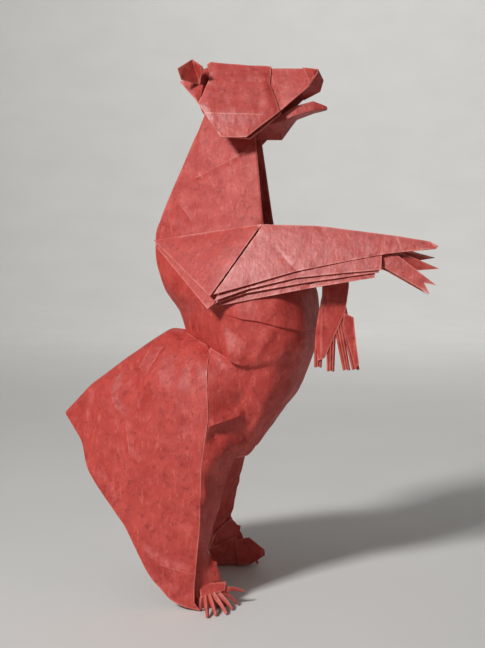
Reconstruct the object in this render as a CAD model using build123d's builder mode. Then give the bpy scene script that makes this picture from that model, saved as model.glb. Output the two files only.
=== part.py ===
"""A standing bear folded from one square of stiff red paper.

The bear faces +X and stands on the plane Z = 0, with its right side towards -Y.
Every piece below is a stretch of the same sheet, so all of them end up in one solid.
"""

import os

from build123d import *

# Driving dimensions in millimetres
PAPER = 0.5  # one flap, two plies of the sheet pressed flat together
SEAM = 0.9  # slit down the belly where the two edges of the sheet meet
PLY_SPREAD = 1.4  # how far the pleats of an arm stand apart at the elbow
PLY_LIFT = 0.3  # how far they stand apart along their common upper edge

HUMP_HEIGHT = 127.0  # shoulder hump, the furthest point of the upper back
HUMP_BACK = -32.0
WAIST_HEIGHT = 93.0
WAIST_BACK = -20.5
BELLY_FRONT = 27.5
BELLY_HALF_WIDTH = 22.5
BELLY_PINCH = 3.2  # how far the sheet is pinched in under the flanks, fading out towards the front
PINCH_STEP = 2.0  # height of the crease that the pinch makes
BELLY_PLEAT = 0.8  # how far the pleat across the belly stands proud of the paper below it
PLEAT_STEP = 0.7  # height of the pleat's edge
NECK_FRONT = 9.6
NECK_HALF_WIDTH = 13.5  # half the opening between the front edges, at the base of the neck
NECK_TOP_BACK = -10.8
NECK_TOP_FRONT = 3.9
NECK_TOP_HALF_WIDTH = 3.6
CROTCH_HEIGHT = 50.0
ARCH_HEIGHT = 8.0  # the hem of the trunk rises in an arch between the legs
ARCH_HALF_WIDTH = 9.0

CROWN_HEIGHT = 188.2  # ridge of the head
HEAD_DEPTH = 27.5  # from the ridge down to the lower edge of the cheeks
CHEEK_HALF_WIDTH = 13.0
CHEEK_FLARE = 1.6  # how far the outer cheek flap stands off the skull at its lower edge
MUZZLE_HALF_WIDTH = 7.4
NOSE_HALF_WIDTH = 3.6
NOSE_REACH = 26.9
JAW_HALF_WIDTH = 5.2
JAW_REACH = 30.0
EAR_SPREAD = 10.0
EAR_LENGTH = 8.3

TAIL_BACK = -67.0
TAIL_HEIGHT = 62.0
RUMP_HEIGHT = 94.0
HAUNCH_FRONT = -9.0  # front folds of the haunches
STANCE_HALF_WIDTH = 30.0  # hem of each haunch from the middle of the bear

COLLAR_RISE = 4.0  # the arm leaves the neck this far above the hump
ARM_SLIT = 0.8  # slit between the shoulder and the arm, closed at the collar
SLIT_END = 2.0  # how far below the collar the slit ends
ELBOW_BACK = -6.2
ELBOW_DROP = 24.5  # from the collar down to the elbow
FINGERTIP_REACH = 68.4
FINGERTIP_DROP = 7.0  # from the collar down to the fingertips
FINGERTIP_OUT = 21.0
HAND_LENGTH = 18.2  # from the wrist to the fingertips
LEFT_HAND_REACH = 38.0  # the left forearm crosses the chest this far forward
LEFT_HAND_ACROSS = 14.0  # how far past the middle of the bear the left hand hangs
LEFT_FOREARM = 33.0  # from the bend of the left wrist down to the end of the hand
LEFT_CLAW_WIDTH = 3.2

ANKLE_OUT = 23.0
TOE_WIDTH = 2.4
TOE_HEIGHT = 1.7


# Ways of laying paper
def between(a, b, share):
    """The value, or the row of values, this share of the way from a to b."""
    if isinstance(a, (tuple, list)):
        return [between(p, q, share) for p, q in zip(a, b)]
    return a + (b - a) * share


def two_faces(path):
    """The two faces of a sheet that runs along path on a plane, mitred at its folds."""
    points = [Vector(*p) for p in path]
    runs = [(b - a).normalized() for a, b in zip(points, points[1:])]
    square = [Vector(-r.Y, r.X) for r in runs]
    mitres = [(a + b) / (1 + a.dot(b)) for a, b in zip(square, square[1:])]
    reach = [m * (PAPER / 2) for m in (square[0], *mitres, square[-1])]
    return [p + r for p, r in zip(points, reach)], [p - r for p, r in zip(points, reach)]


def facet(*corners):
    """One flat face of the sheet between its creases."""
    return Face(Wire.make_polygon(corners))


def folded_sheet(stations):
    """One sheet folded through the profiles that cross it, each a plane and a path on it.

    Paper stays flat between its creases, so every stretch between two folds and two profiles is
    creased once more, along its shorter diagonal.
    """
    profiles = []
    for plane, path in stations:
        profiles.append([[plane.from_local_coords(p) for p in face] for face in two_faces(path)])
    facets = []
    for left, right in (profiles[0], profiles[-1]):
        facets.append(facet(*left, *reversed(right)))
    for (left, right), (next_left, next_right) in zip(profiles, profiles[1:]):
        for j in range(len(left) - 1):
            rising = (left[j] - next_left[j + 1]).length < (left[j + 1] - next_left[j]).length
            for a, b in ((left, next_left), (right, next_right)):
                if rising:
                    facets += [facet(a[j], a[j + 1], b[j + 1]), facet(a[j], b[j + 1], b[j])]
                else:
                    facets += [facet(a[j], a[j + 1], b[j]), facet(a[j + 1], b[j + 1], b[j])]
        for end in (0, -1):
            facets.append(facet(left[end], right[end], next_right[end]))
            facets.append(facet(left[end], next_right[end], next_left[end]))
    add(Solid(Shell(facets)))


def depth_on(corners, x, z):
    """Where the plane through three corners is, along Y, at this place in the side view."""
    a, b, c = (Vector(*p) for p in corners)
    n = (b - a).cross(c - a)
    return a.Y - (n.X * (x - a.X) + n.Z * (z - a.Z)) / n.Y


def flap(corners, outline):
    """One flat flap. corners are three points on it, outline its edge as (x, z) in the side view."""
    a, b, c = (Vector(*p) for p in corners)
    plane = Plane(origin=a, x_dir=b - a, z_dir=(b - a).cross(c - a))
    rim = [plane.to_local_coords(Vector(x, depth_on(corners, x, z), z)) for x, z in outline]
    with BuildSketch(plane) as sheet:
        with BuildLine():
            Polyline(*[(p.X, p.Y) for p in rim], close=True)
        make_face()
    extrude(sheet.sketch, amount=PAPER / 2, both=True)


def claw(root, tip, width, height, taper, ridge_towards=(0, 0, 1)):
    """One claw, a narrow pleat of paper pressed to a ridge that runs from root to tip."""
    start, end = Vector(*root), Vector(*tip)
    axis = (end - start).normalized()
    across = Vector(*ridge_towards).cross(axis).normalized()
    sections = []
    for at, share in ((start, 1.0), (end, taper)):
        half, rise = width / 2 * share, height / 2 * share
        with BuildSketch(Plane(origin=at, x_dir=across, z_dir=axis)) as section:
            with BuildLine():
                Polyline((-half, -rise), (half, -rise), (0, rise), close=True)
            make_face()
        sections.append(section.sketch)
    loft(sections, ruled=True)


def across_at(x):
    """The plane square across the bear at x, with its own axes along +Y and +Z."""
    return Plane(origin=(x, 0, 0), x_dir=(0, 1, 0), z_dir=(1, 0, 0))


def both_sides(half):
    """A whole profile from one half, which runs from the middle of the bear outwards."""
    return [(-y, z) for y, z in reversed(half)] + [(y, z) for y, z in half[1:]]


def side_view(*points):
    """The points as the side view shows them."""
    return [(x, z) for x, _, z in points]


# Trunk: neck, chest and belly, one sheet with its fold down the spine and its edges in front
FLANK_U = (0.0, 0.1, 0.22, 0.36, 0.5, 0.66, 0.8, 0.93, 1.0)  # from the spine to the front edge
FLANK_ROUND = (0.0, 0.32, 0.6, 0.84, 0.97, 1.0, 0.96, 0.68, 0.0)  # share of a full belly's half width
NECK_BULGE = 0.06
neck_top = (CROWN_HEIGHT - 12.2, NECK_TOP_BACK, NECK_TOP_FRONT, NECK_TOP_HALF_WIDTH)
neck_base = (HUMP_HEIGHT + 2.0, HUMP_BACK + 0.5, NECK_FRONT, NECK_HALF_WIDTH)
chest_height = between(HUMP_HEIGHT, WAIST_HEIGHT, 0.26)
bust_height = between(HUMP_HEIGHT, WAIST_HEIGHT, 0.56)
pleat_height = between(HUMP_HEIGHT, WAIST_HEIGHT, 0.85)
pinch_height = between(WAIST_HEIGHT, CROTCH_HEIGHT, 0.21)
pinch_low = pinch_height - PINCH_STEP
groin_height = between(WAIST_HEIGHT, CROTCH_HEIGHT, 0.63)

trunk_levels = [
    # height, back, front, half width, roundness, pinch at the spine, pleat in front
    (*between(neck_top, neck_base, share), NECK_BULGE, 0.0, 0.0)
    for share in (0.0, 0.3, 0.65, 1.0)
] + [
    (chest_height, HUMP_BACK + 0.3, BELLY_FRONT - 7.5, BELLY_HALF_WIDTH - 4.5, 0.5, 0.0, 0.0),
    (bust_height, WAIST_BACK - 8.0, BELLY_FRONT - 0.5, BELLY_HALF_WIDTH - 1.0, 1.0, 0.0, 0.0),
    (pleat_height, WAIST_BACK - 2.2, BELLY_FRONT + 0.3, BELLY_HALF_WIDTH, 1.0, 0.0, BELLY_PLEAT),
    (pleat_height - PLEAT_STEP, WAIST_BACK - 2.0, BELLY_FRONT, BELLY_HALF_WIDTH, 1.0, 0.0, 0.0),
    (WAIST_HEIGHT, WAIST_BACK, BELLY_FRONT, BELLY_HALF_WIDTH + 0.2, 1.0, 0.0, 0.0),
    (pinch_height, WAIST_BACK + 1.0, BELLY_FRONT - 1.6, BELLY_HALF_WIDTH, 1.0, 0.0, 0.0),
    (pinch_low, WAIST_BACK + 1.2, BELLY_FRONT - 2.8, BELLY_HALF_WIDTH - 0.6, 1.0, BELLY_PINCH, 0.0),
    (groin_height, WAIST_BACK + 2.5, BELLY_FRONT - 10.5, BELLY_HALF_WIDTH - 3.0, 1.0, 0.0, 0.0),
    (CROTCH_HEIGHT, WAIST_BACK + 3.5, BELLY_FRONT - 22.5, BELLY_HALF_WIDTH - 8.0, 1.0, 0.0, 0.0),
]


def trunk_profile(back, front, half_width, roundness, pinch, pleat):
    """The trunk cut level, from an open V at the neck to a closed round at the belly."""
    half = []
    for u, full in zip(FLANK_U, FLANK_ROUND):
        y = half_width * ((1 - roundness) * u + roundness * full)
        y += (pleat * u - pinch * (1 - u)) * full
        half.append((between(back, front, u), y + (SEAM / 2 if u == 1.0 else 0.0)))
    return [(x, -y) for x, y in reversed(half)] + half[1:]


with BuildPart() as trunk:
    folded_sheet([(Plane.XY.offset(z), trunk_profile(*rest)) for z, *rest in trunk_levels])
    with BuildSketch(Plane.YZ) as arch:
        with BuildLine():
            Polyline(
                (-ARCH_HALF_WIDTH, CROTCH_HEIGHT - 1.0),
                (0, CROTCH_HEIGHT + ARCH_HEIGHT),
                (ARCH_HALF_WIDTH, CROTCH_HEIGHT - 1.0),
                close=True,
            )
        make_face()
    extrude(amount=2 * BELLY_FRONT, both=True, mode=Mode.SUBTRACT)

# Nape: inside the head the neck is pressed flat, and runs on up to the ridge
nape_low = between(neck_top, neck_base, 0.16)
with BuildPart() as nape:
    with BuildSketch(Plane.XZ) as pressed_spine:
        with BuildLine():
            Polyline(
                (nape_low[1] + 0.5, nape_low[0]),
                (NECK_TOP_BACK + 0.3, neck_top[0]),
                (-5.2, CROWN_HEIGHT - 0.8),
                (3.0, CROWN_HEIGHT - 1.4),
                (3.0, CROWN_HEIGHT - 6.0),
                close=True,
            )
        make_face()
    extrude(amount=PAPER / 2, both=True)

# Rump: one sheet over the lower back, from the tail to the front folds of both haunches
DRAPE = (0.0, 0.03, 0.08, 0.16, 0.3, 0.5, 0.74, 1.0)  # from the ridge down to the hem
haunch_front = (RUMP_HEIGHT - 3.6, 0.3, STANCE_HALF_WIDTH, 0.12, 0.75)
rump_stations = (
    # share of the way from the tail to the front folds, ridge, hem, half width at the hem,
    # how gently the back rounds over, and how far its shoulder leans in onto the belly
    (0.0, TAIL_HEIGHT + 0.8, TAIL_HEIGHT - 1.2, 1.6, 0.6, 0.0),
    (0.172, TAIL_HEIGHT + 10.3, TAIL_HEIGHT - 9.4, STANCE_HALF_WIDTH - 20.0, 0.42, 0.0),
    (0.21, TAIL_HEIGHT + 11.9, TAIL_HEIGHT - 17.1, STANCE_HALF_WIDTH - 16.5, 0.40, 0.0),
    (0.303, TAIL_HEIGHT + 15.8, TAIL_HEIGHT - 23.5, STANCE_HALF_WIDTH - 13.0, 0.36, 0.0),
    (0.41, between(TAIL_HEIGHT + 15.8, RUMP_HEIGHT - 7.8, 0.55), 32.2, STANCE_HALF_WIDTH - 9.6, 0.33, 0.0),
    (0.507, RUMP_HEIGHT - 7.8, 26.4, STANCE_HALF_WIDTH - 7.0, 0.30, 0.0),
    (0.59, RUMP_HEIGHT - 4.4, 18.4, STANCE_HALF_WIDTH - 4.8, 0.27, 0.0),
    (0.672, RUMP_HEIGHT - 1.4, 10.6, STANCE_HALF_WIDTH - 3.0, 0.24, 0.0),
    (0.71, RUMP_HEIGHT, 8.4, STANCE_HALF_WIDTH - 2.4, 0.22, 0.0),
    (0.814, RUMP_HEIGHT - 0.8, 3.5, STANCE_HALF_WIDTH - 1.0, 0.18, 0.2),
    (0.91, RUMP_HEIGHT - 2.0, 1.2, STANCE_HALF_WIDTH - 0.3, 0.15, 0.5),
    (1.0, *haunch_front),
    (1.06, *haunch_front),
)
front_fold = (
    # share of the rump's height, and how far ahead of the haunch's front line the fold runs there
    (1.05, 0.2),
    (0.935, 0.2),
    (0.70, 1.9),
    (0.52, -0.2),
    (0.305, -0.6),
    (0.096, -2.3),
    (0.028, -2.3),
    (-0.012, 1.4),
)


def rump_profile(ridge, hem, half_width, roundness, lean):
    """The rump cut square across, draped over the back and down to the hem on each side."""
    half = []
    for v in DRAPE:
        leaning = 1 - lean * (1 - v) ** 28
        half.append((half_width * leaning * v**roundness, between(ridge, hem, v)))
    return both_sides(half)


def haunch_out(height):
    """How far out the front fold of a haunch is at this height."""
    left = rump_profile(*haunch_front)[len(DRAPE) - 1 :]
    for (y0, z0), (y1, z1) in zip(left, left[1:]):
        if z1 <= height <= z0:
            return between(y0, y1, (z0 - height) / (z0 - z1))
    return STANCE_HALF_WIDTH


def fold_at(height):
    """How far forward the front fold of a haunch is at this height."""
    share = height / RUMP_HEIGHT
    for (s0, x0), (s1, x1) in zip(front_fold, front_fold[1:]):
        if s1 <= share <= s0:
            return HAUNCH_FRONT + between(x0, x1, (s0 - share) / (s0 - s1))


with BuildPart() as rump:
    folded_sheet(
        [
            (across_at(between(TAIL_BACK, HAUNCH_FRONT, share)), rump_profile(*rest))
            for share, *rest in rump_stations
        ]
    )
    ahead = HAUNCH_FRONT + 9.0
    with BuildSketch(Plane.XZ) as ahead_of_fold:
        with BuildLine():
            Polyline(
                *[(HAUNCH_FRONT + x, share * RUMP_HEIGHT) for share, x in front_fold],
                (ahead, front_fold[-1][0] * RUMP_HEIGHT),
                (ahead, front_fold[0][0] * RUMP_HEIGHT),
                close=True,
            )
        make_face()
    extrude(amount=2 * STANCE_HALF_WIDTH, both=True, mode=Mode.SUBTRACT)

# Head: a roof of paper over the top of the neck, with an outer flap for each cheek
cheek_height = CROWN_HEIGHT - HEAD_DEPTH
skull_half = CHEEK_HALF_WIDTH - 0.8
skull_outline = (
    (-20.2, CROWN_HEIGHT - 7.4),
    (-18.6, CROWN_HEIGHT - 5.4),
    (-11.0, CROWN_HEIGHT - 0.4),
    (10.0, CROWN_HEIGHT - 2.2),
    (13.8, cheek_height + 9.4),
    (3.6, cheek_height + 0.6),
    (-4.8, cheek_height + 0.6),
    (-14.4, cheek_height + 12.8),
)
skull_corners = (
    (-11.0, -0.1, CROWN_HEIGHT - 0.5),
    (10.0, -0.1, CROWN_HEIGHT - 2.3),
    (0.0, -skull_half, cheek_height),
)
cheek_outline = (
    (-12.6, CROWN_HEIGHT - 0.7),
    (-11.4, CROWN_HEIGHT + 0.3),
    (10.3, CROWN_HEIGHT - 1.6),
    (10.3, CROWN_HEIGHT - 8.2),
    (14.5, cheek_height + 9.1),
    (3.7, cheek_height),
    (-5.0, cheek_height),
    (-14.3, cheek_height + 12.3),
    (-13.0, cheek_height + 15.0),
    (-11.0, CROWN_HEIGHT - 5.4),
)
cheek_corners = (
    (-11.4, -0.2, CROWN_HEIGHT),
    (10.3, -0.2, CROWN_HEIGHT - 1.8),
    (0.0, -skull_half - CHEEK_FLARE, cheek_height),
)
with BuildPart() as skull:
    flap(skull_corners, skull_outline)
    mirror(about=Plane.XZ)

with BuildPart() as cheeks:
    flap(cheek_corners, cheek_outline)
    mirror(about=Plane.XZ)

# Muzzle and nose: a narrower roof that comes out from under the cheeks, and a pad bent over its end
muzzle_end = between(NOSE_HALF_WIDTH, MUZZLE_HALF_WIDTH, 0.37)
muzzle_stations = (
    # along, ridge, lower edge, half width at the lower edge
    (8.0, CROWN_HEIGHT - 2.6, cheek_height + 11.3, MUZZLE_HALF_WIDTH - 0.4),
    (14.5, CROWN_HEIGHT - 2.8, cheek_height + 9.3, MUZZLE_HALF_WIDTH),
    (NOSE_REACH - 2.4, CROWN_HEIGHT - 3.0, cheek_height + 18.1, muzzle_end),
    (NOSE_REACH, CROWN_HEIGHT - 3.2, CROWN_HEIGHT - 4.6, NOSE_HALF_WIDTH - 1.0),
)


def nose_profile(tuck):
    """The nose pad cut lengthwise, tucked back and up towards its two ends."""
    return [
        (NOSE_REACH - 0.3 - 0.6 * tuck, CROWN_HEIGHT - 3.1 - 0.6 * tuck),
        (NOSE_REACH + 1.6 - 1.2 * tuck, CROWN_HEIGHT - 7.0 + 0.4 * tuck),
        (NOSE_REACH + 0.5 - 1.4 * tuck, CROWN_HEIGHT - 10.6 + 1.0 * tuck),
        (NOSE_REACH - 5.2 - 0.4 * tuck, CROWN_HEIGHT - 13.4 + 1.6 * tuck),
    ]


with BuildPart() as muzzle:
    folded_sheet([(across_at(x), both_sides([(0, r), (w, e)])) for x, r, e, w in muzzle_stations])

nose_fold_corners = (
    (NOSE_REACH - 5.5, -0.6, CROWN_HEIGHT - 2.7),
    (NOSE_REACH, -0.6, CROWN_HEIGHT - 3.3),
    (NOSE_REACH - 2.6, -NOSE_HALF_WIDTH - 1.9, CROWN_HEIGHT - 9.3),
)
nose_fold_outline = (
    (NOSE_REACH - 5.5, CROWN_HEIGHT - 2.4),
    (NOSE_REACH + 0.1, CROWN_HEIGHT - 3.2),
    (NOSE_REACH - 2.6, CROWN_HEIGHT - 9.2),
    (NOSE_REACH - 3.4, CROWN_HEIGHT - 6.8),
)


with BuildPart() as nose_folds:
    flap(nose_fold_corners, nose_fold_outline)
    mirror(about=Plane.XZ)

with BuildPart() as nose:
    folded_sheet(
        [
            (Plane(origin=(0, y, 0), x_dir=(1, 0, 0), z_dir=(0, -1, 0)), nose_profile(tuck))
            for y, tuck in ((-NOSE_HALF_WIDTH, 1.0), (0.0, 0.0), (NOSE_HALF_WIDTH, 1.0))
        ]
    )

# Lower jaw: a trough with a deep chin, slid in between the front edges of the neck
jaw_stations = (
    # along, keel, fold and how far out it is, rim and how far out it is
    (0.5, 0.8, (JAW_HALF_WIDTH + 3.2, 3.3), (JAW_HALF_WIDTH + 3.2, 4.6)),
    (14.0, 0.5, (JAW_HALF_WIDTH + 0.2, 5.8), (JAW_HALF_WIDTH - 0.2, 7.8)),
    (19.2, 7.3, (JAW_HALF_WIDTH - 0.7, 8.2), (JAW_HALF_WIDTH - 1.5, 11.4)),
    (JAW_REACH - 4.7, 9.5, (JAW_HALF_WIDTH - 1.9, 10.0), (JAW_HALF_WIDTH - 2.9, 13.2)),
    (JAW_REACH, 10.4, (0.9, 10.8), (0.6, 11.5)),
)
with BuildPart() as jaw:
    profiles = []
    for x, keel, (fold_out, fold), (rim_out, rim) in jaw_stations:
        half = [(0, cheek_height + keel), (fold_out, cheek_height + fold), (rim_out, cheek_height + rim)]
        profiles.append((across_at(x), both_sides(half)))
    folded_sheet(profiles)

# Ears: a small flap on each side of the skull, opened by a valley fold
ear_root_drop = EAR_LENGTH - 0.5
ear_base = (-14.5, -skull_half * (ear_root_drop - 0.5) / HEAD_DEPTH - 0.3, CROWN_HEIGHT - ear_root_drop)
ear_top = (-16.7, -EAR_SPREAD + 3.0, ear_base[2] + EAR_LENGTH)
ear_back = (-21.2, -EAR_SPREAD, ear_top[2] - 3.5)
ear_front = (-12.4, -EAR_SPREAD + 0.4, ear_top[2] - 3.0)
with BuildPart() as ears:
    flap(
        (ear_base, ear_top, ear_back),
        (*side_view(ear_base, ear_top, ear_back), (-20.2, ear_base[2] + 1.1)),
    )
    flap((ear_base, ear_top, ear_front), side_view(ear_base, ear_top, ear_front))
    mirror(about=Plane.XZ)

# Shoulders: two flaps on each side, laid over the trunk from the spine to the elbow
collar = (NECK_FRONT, -NECK_HALF_WIDTH - 1.9, HUMP_HEIGHT + COLLAR_RISE)
elbow = (ELBOW_BACK, -BELLY_HALF_WIDTH - 3.0, collar[2] - ELBOW_DROP)
fingertip = (FINGERTIP_REACH, -FINGERTIP_OUT, collar[2] - FINGERTIP_DROP)
hump = (HUMP_BACK - 0.5, -0.8, HUMP_HEIGHT - 1.2)
along_slit = (Vector(*elbow) - Vector(*collar)).normalized()
slit_top = Vector(*collar) + along_slit * SLIT_END
half_slit = ARM_SLIT / 2
lining_corners = (
    (HUMP_BACK, -0.2, HUMP_HEIGHT - 2.6),
    (collar[0], collar[1] + 0.6, collar[2] - 0.6),
    (elbow[0] - 1.0, elbow[1] + 1.0, elbow[2] - 4.0),
)
lining_outline = (
    (HUMP_BACK, HUMP_HEIGHT - 1.8),
    (collar[0] - 2.6, collar[2] - 1.5),
    (elbow[0] + 0.6, elbow[2] - 2.4),
    (elbow[0] - 1.5, elbow[2] - 4.0),
    (HUMP_BACK + 0.1, HUMP_HEIGHT - 3.2),
)
shoulder_outline = (
    *side_view(hump, collar),
    (slit_top.X - half_slit, slit_top.Z),
    (elbow[0] - half_slit, elbow[2] + 0.2),
)
with BuildPart() as shoulders:
    flap((hump, collar, elbow), shoulder_outline)
    flap(lining_corners, lining_outline)
    mirror(about=Plane.XZ)

# Right arm: four pleats that fan out from the elbow, reaching straight ahead, and forked claws
wrist = FINGERTIP_REACH - HAND_LENGTH
arm_top = (
    (collar[0], collar[2]),
    (between(collar[0], wrist, 0.48), collar[2] - 0.7),
    (wrist + 5.1, fingertip[2] + 2.8),
    (FINGERTIP_REACH - 2.6, fingertip[2] + 1.0),
    (FINGERTIP_REACH, fingertip[2] - 0.4),
)
arm_lower_edges = (
    # share of the way from the elbow to the wrist, and the drop below the line of the fingertips
    ((1.31, 1.3), (1.03, 2.9), (0.78, 5.6), (0.50, 8.8), (0.216, 13.4)),
    ((1.0, 1.5), (1.0, 8.2), (0.78, 9.3), (0.50, 11.0), (0.213, 14.8)),
    ((0.989, 2.0), (0.986, 9.0), (0.562, 12.5), (0.20, 16.2)),
    ((0.97, 3.0), (0.961, 10.7), (0.727, 13.0), (0.578, 14.4)),
)
elbow_ends = ((0.4 + half_slit, -0.9), (0.9, 1.3), (0.8, 2.3), (0.7, 3.3))


hand_claws = (
    # how deep each claw is tucked, how far its tip stands in, its outline ahead of and below the wrist
    (0.9, -1.4, ((-6, 7.6), (-6, 2.5), (3.9, 2.4), (17.7, 13.1), (13.8, 12.3), (15.6, 16.0), (-0.2, 6.9))),
    (1.5, 2.4, ((-6, 6.0), (-6, 2.5), (6.8, 2.6), (18.6, 7.8), (11.8, 8.4), (4.8, 6.4))),
    (2.2, 4.2, ((-6, 5.0), (-6, 1.5), (6.8, 1.4), (17.1, 4.2), (9.8, 5.4))),
)


def pleat_corners(layer):
    """Three points on one pleat: the pleats lie together on top and stand apart below."""
    return (
        (collar[0], collar[1] + PLY_LIFT * layer, collar[2]),
        (fingertip[0], fingertip[1] + PLY_LIFT * layer, fingertip[2]),
        (elbow[0], elbow[1] + PLY_SPREAD * layer, elbow[2]),
    )


def hand_flap(tuck, tip_out, outline):
    """One claw of the right hand, tucked in between the pleats at the wrist."""
    root = wrist - 6.0
    tip_x, tip_drop = max(outline)
    flap(
        (
            (root, fingertip[1] + tuck, fingertip[2] - 5.0),
            (wrist + 4.8, fingertip[1] + tuck, fingertip[2] - 3.0),
            (wrist + tip_x, fingertip[1] + tip_out, fingertip[2] - tip_drop),
        ),
        [(wrist + x, fingertip[2] - drop) for x, drop in outline],
    )


with BuildPart() as right_arm:
    for layer, lower_edge in enumerate(arm_lower_edges):
        upper_edge = ((slit_top.X + half_slit, slit_top.Z), *arm_top)
        if layer > 0:
            upper_edge = ((collar[0] + 2 * ARM_SLIT, collar[2] - 0.1), arm_top[1])
        forward, drop = elbow_ends[layer]
        below = [(between(elbow[0], wrist, share), fingertip[2] - low) for share, low in lower_edge]
        flap(pleat_corners(layer), (*upper_edge, *below, (elbow[0] + forward, elbow[2] - drop)))
    for tuck, tip_out, outline in hand_claws:
        hand_flap(tuck, tip_out, outline)

# Left arm: the same shoulder, but its forearm is folded across the chest and the hand hangs down
left_upper = (
    (collar[0], -collar[1], collar[2]),
    (LEFT_HAND_REACH - 2.0, -collar[1] + 4.6, collar[2] - 2.0),
    (elbow[0], -elbow[1], elbow[2]),
)
left_upper_outline = (
    (collar[0], collar[2]),
    (LEFT_HAND_REACH - 4.0, collar[2] - 2.0),
    (LEFT_HAND_REACH + 0.1, collar[2] - 6.5),
    (LEFT_HAND_REACH + 0.1, elbow[2] + 5.2),
    (LEFT_HAND_REACH - 16.0, elbow[2] + 5.0),
    (6.0, elbow[2] + 2.5),
    (elbow[0] + 0.6, elbow[2] + 0.3),
)
bend_height = elbow[2] + 11.5
hand_height = bend_height - LEFT_FOREARM
hand_ridge = LEFT_HAND_REACH - 8.0
HAND_TURN = 0.3  # how far the hand recedes from its ridge, on the front
SIDE_TURN = 0.9  # and on the narrow side


def in_hand(forward, behind=0.0):
    """Where the left hand's two faces are, along Y, this far forward of their common ridge."""
    recess = HAND_TURN * forward if forward > 0 else -SIDE_TURN * forward
    return -LEFT_HAND_ACROSS + recess + behind


hand_corners = (
    (hand_ridge, in_hand(0), bend_height),
    (LEFT_HAND_REACH, in_hand(8.0), bend_height),
    (hand_ridge, in_hand(0), hand_height),
)
hand_outline = (
    (hand_ridge, bend_height + 3.0),
    (LEFT_HAND_REACH + 0.6, bend_height + 3.0),
    (LEFT_HAND_REACH + 1.0, bend_height - 8.0),
    (LEFT_HAND_REACH - 0.1, hand_height + 16.4),
    (hand_ridge + 1.2, hand_height + 0.8),
    (hand_ridge, hand_height + 0.2),
)
hand_side_corners = (
    (hand_ridge, in_hand(0), bend_height),
    (hand_ridge, in_hand(0), hand_height),
    (hand_ridge - 2.2, in_hand(-2.2), hand_height + 7.0),
)
hand_side_outline = (
    (hand_ridge + 0.1, hand_height + 22.6),
    (hand_ridge - 2.1, hand_height + 9.7),
    (hand_ridge - 2.2, hand_height + 4.7),
    (hand_ridge - 1.4, hand_height - 0.4),
    (hand_ridge + 0.1, hand_height + 0.2),
)
left_claws = (
    # root and tip of each claw, forward of the hand's ridge and above its lower end
    ((-1.0, 4.0), (-1.3, -2.4)),
    ((3.4, 8.5), (3.1, -3.6)),
    ((5.9, 13.2), (8.5, -3.2)),
    ((7.6, 18.4), (11.8, -3.0)),
)


def crossing_path(height):
    """The forearm cut level: from the end of the upper arm across the chest, and round to the hand."""
    return [
        (LEFT_HAND_REACH, depth_on(left_upper, LEFT_HAND_REACH, height) + 0.2),
        (LEFT_HAND_REACH - 1.0, in_hand(7.0, 0.3)),
        (hand_ridge + 0.3, in_hand(0.3, 0.3)),
    ]


with BuildPart() as left_arm:
    flap(left_upper, left_upper_outline)
    folded_sheet([(Plane.XY.offset(z), crossing_path(z)) for z in (bend_height - 6.0, bend_height + 6.0)])
    flap(hand_corners, hand_outline)
    flap(hand_side_corners, hand_side_outline)
    for (x0, z0), (x1, z1) in left_claws:
        root = (hand_ridge + x0, in_hand(x0, 0.35), hand_height + z0)
        tip = (hand_ridge + x1, in_hand(x1, 0.35), hand_height + z1)
        claw(root, tip, LEFT_CLAW_WIDTH, 1.0, taper=0.8, ridge_towards=(0, -1, 0))

# Legs: each haunch turns in at its front fold, comes to a shin and stands on a boot
leg_levels = (
    # share of the rump's height, front edge of the leg, inner edge
    (0.915, (10.0, -BELLY_HALF_WIDTH + 0.9), (-6.0, -9.0)),
    (0.766, (10.0, -BELLY_HALF_WIDTH + 1.9), (-6.0, -7.0)),
    (0.617, (4.0, -17.0), (-8.0, -5.0)),
    (0.468, (-2.5, -17.5), (-11.0, -8.0)),
    (0.287, (-6.8, -ANKLE_OUT + 3.0), (-14.0, -ANKLE_OUT + 10.0)),
    (0.202, (-8.4, -ANKLE_OUT + 0.8), (-16.0, -ANKLE_OUT + 6.0)),
    (0.128, (-4.8, -ANKLE_OUT), (-15.0, -ANKLE_OUT + 4.5)),
    (0.002, (-1.5, -ANKLE_OUT), (-14.0, -ANKLE_OUT + 3.5)),
)
ANKLE_SHARE = 0.21  # below this the outer side of the leg lies inside the haunch
sole_outline = (
    (-1.3, -ANKLE_OUT),
    (-13.0, -ANKLE_OUT - 4.6),
    (-14.4, -ANKLE_OUT - 4.6),
    (-14.4, -ANKLE_OUT + 3.8),
)
toe_tips = (
    # forward, out from the ankle, up
    (-9.2, 6.8, 0.7),
    (-5.4, 13.2, 0.7),
    (-2.9, 11.1, 0.7),
    (0.3, 9.0, 0.7),
    (1.4, 4.5, 0.7),
    (2.3, -0.4, 0.9),
    (4.0, -3.0, 4.6),
)
instep = ((-9.0, 5.0, 4.8), (-2.4, 1.2, 6.4))  # the toes start along this line, out from the ankle
instep_corners = (
    (-9.8, -ANKLE_OUT - 2.6, 8.0),
    (-2.2, -ANKLE_OUT + 0.2, 8.4),
    (-6.0, -ANKLE_OUT - 4.0, 4.6),
)
instep_outline = ((-10.4, 8.2), (-1.6, 8.6), (-1.6, 6.2), (-9.2, 4.2))
left_foot_corners = (
    (-6.0, ANKLE_OUT - 1.6, 10.4),
    (-1.2, ANKLE_OUT - 1.0, 11.2),
    (4.0, ANKLE_OUT - 2.2, 5.0),
)
left_foot_outline = ((-6.4, 10.2), (-1.2, 11.2), (4.8, 6.9), (3.2, 6.0), (5.1, 4.7), (-0.3, 1.2), (-5.0, 1.2))


def leg_profile(share, front, inner):
    """A leg cut level: from the haunch's fold to the shin and back along the inside."""
    height = share * RUMP_HEIGHT
    outer = (fold_at(height) - 0.1, -haunch_out(height) + 0.1)
    if share < ANKLE_SHARE:
        outer = (fold_at(height) - 1.2, -ANKLE_OUT - 4.4)
    return [outer, front, inner]


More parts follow.
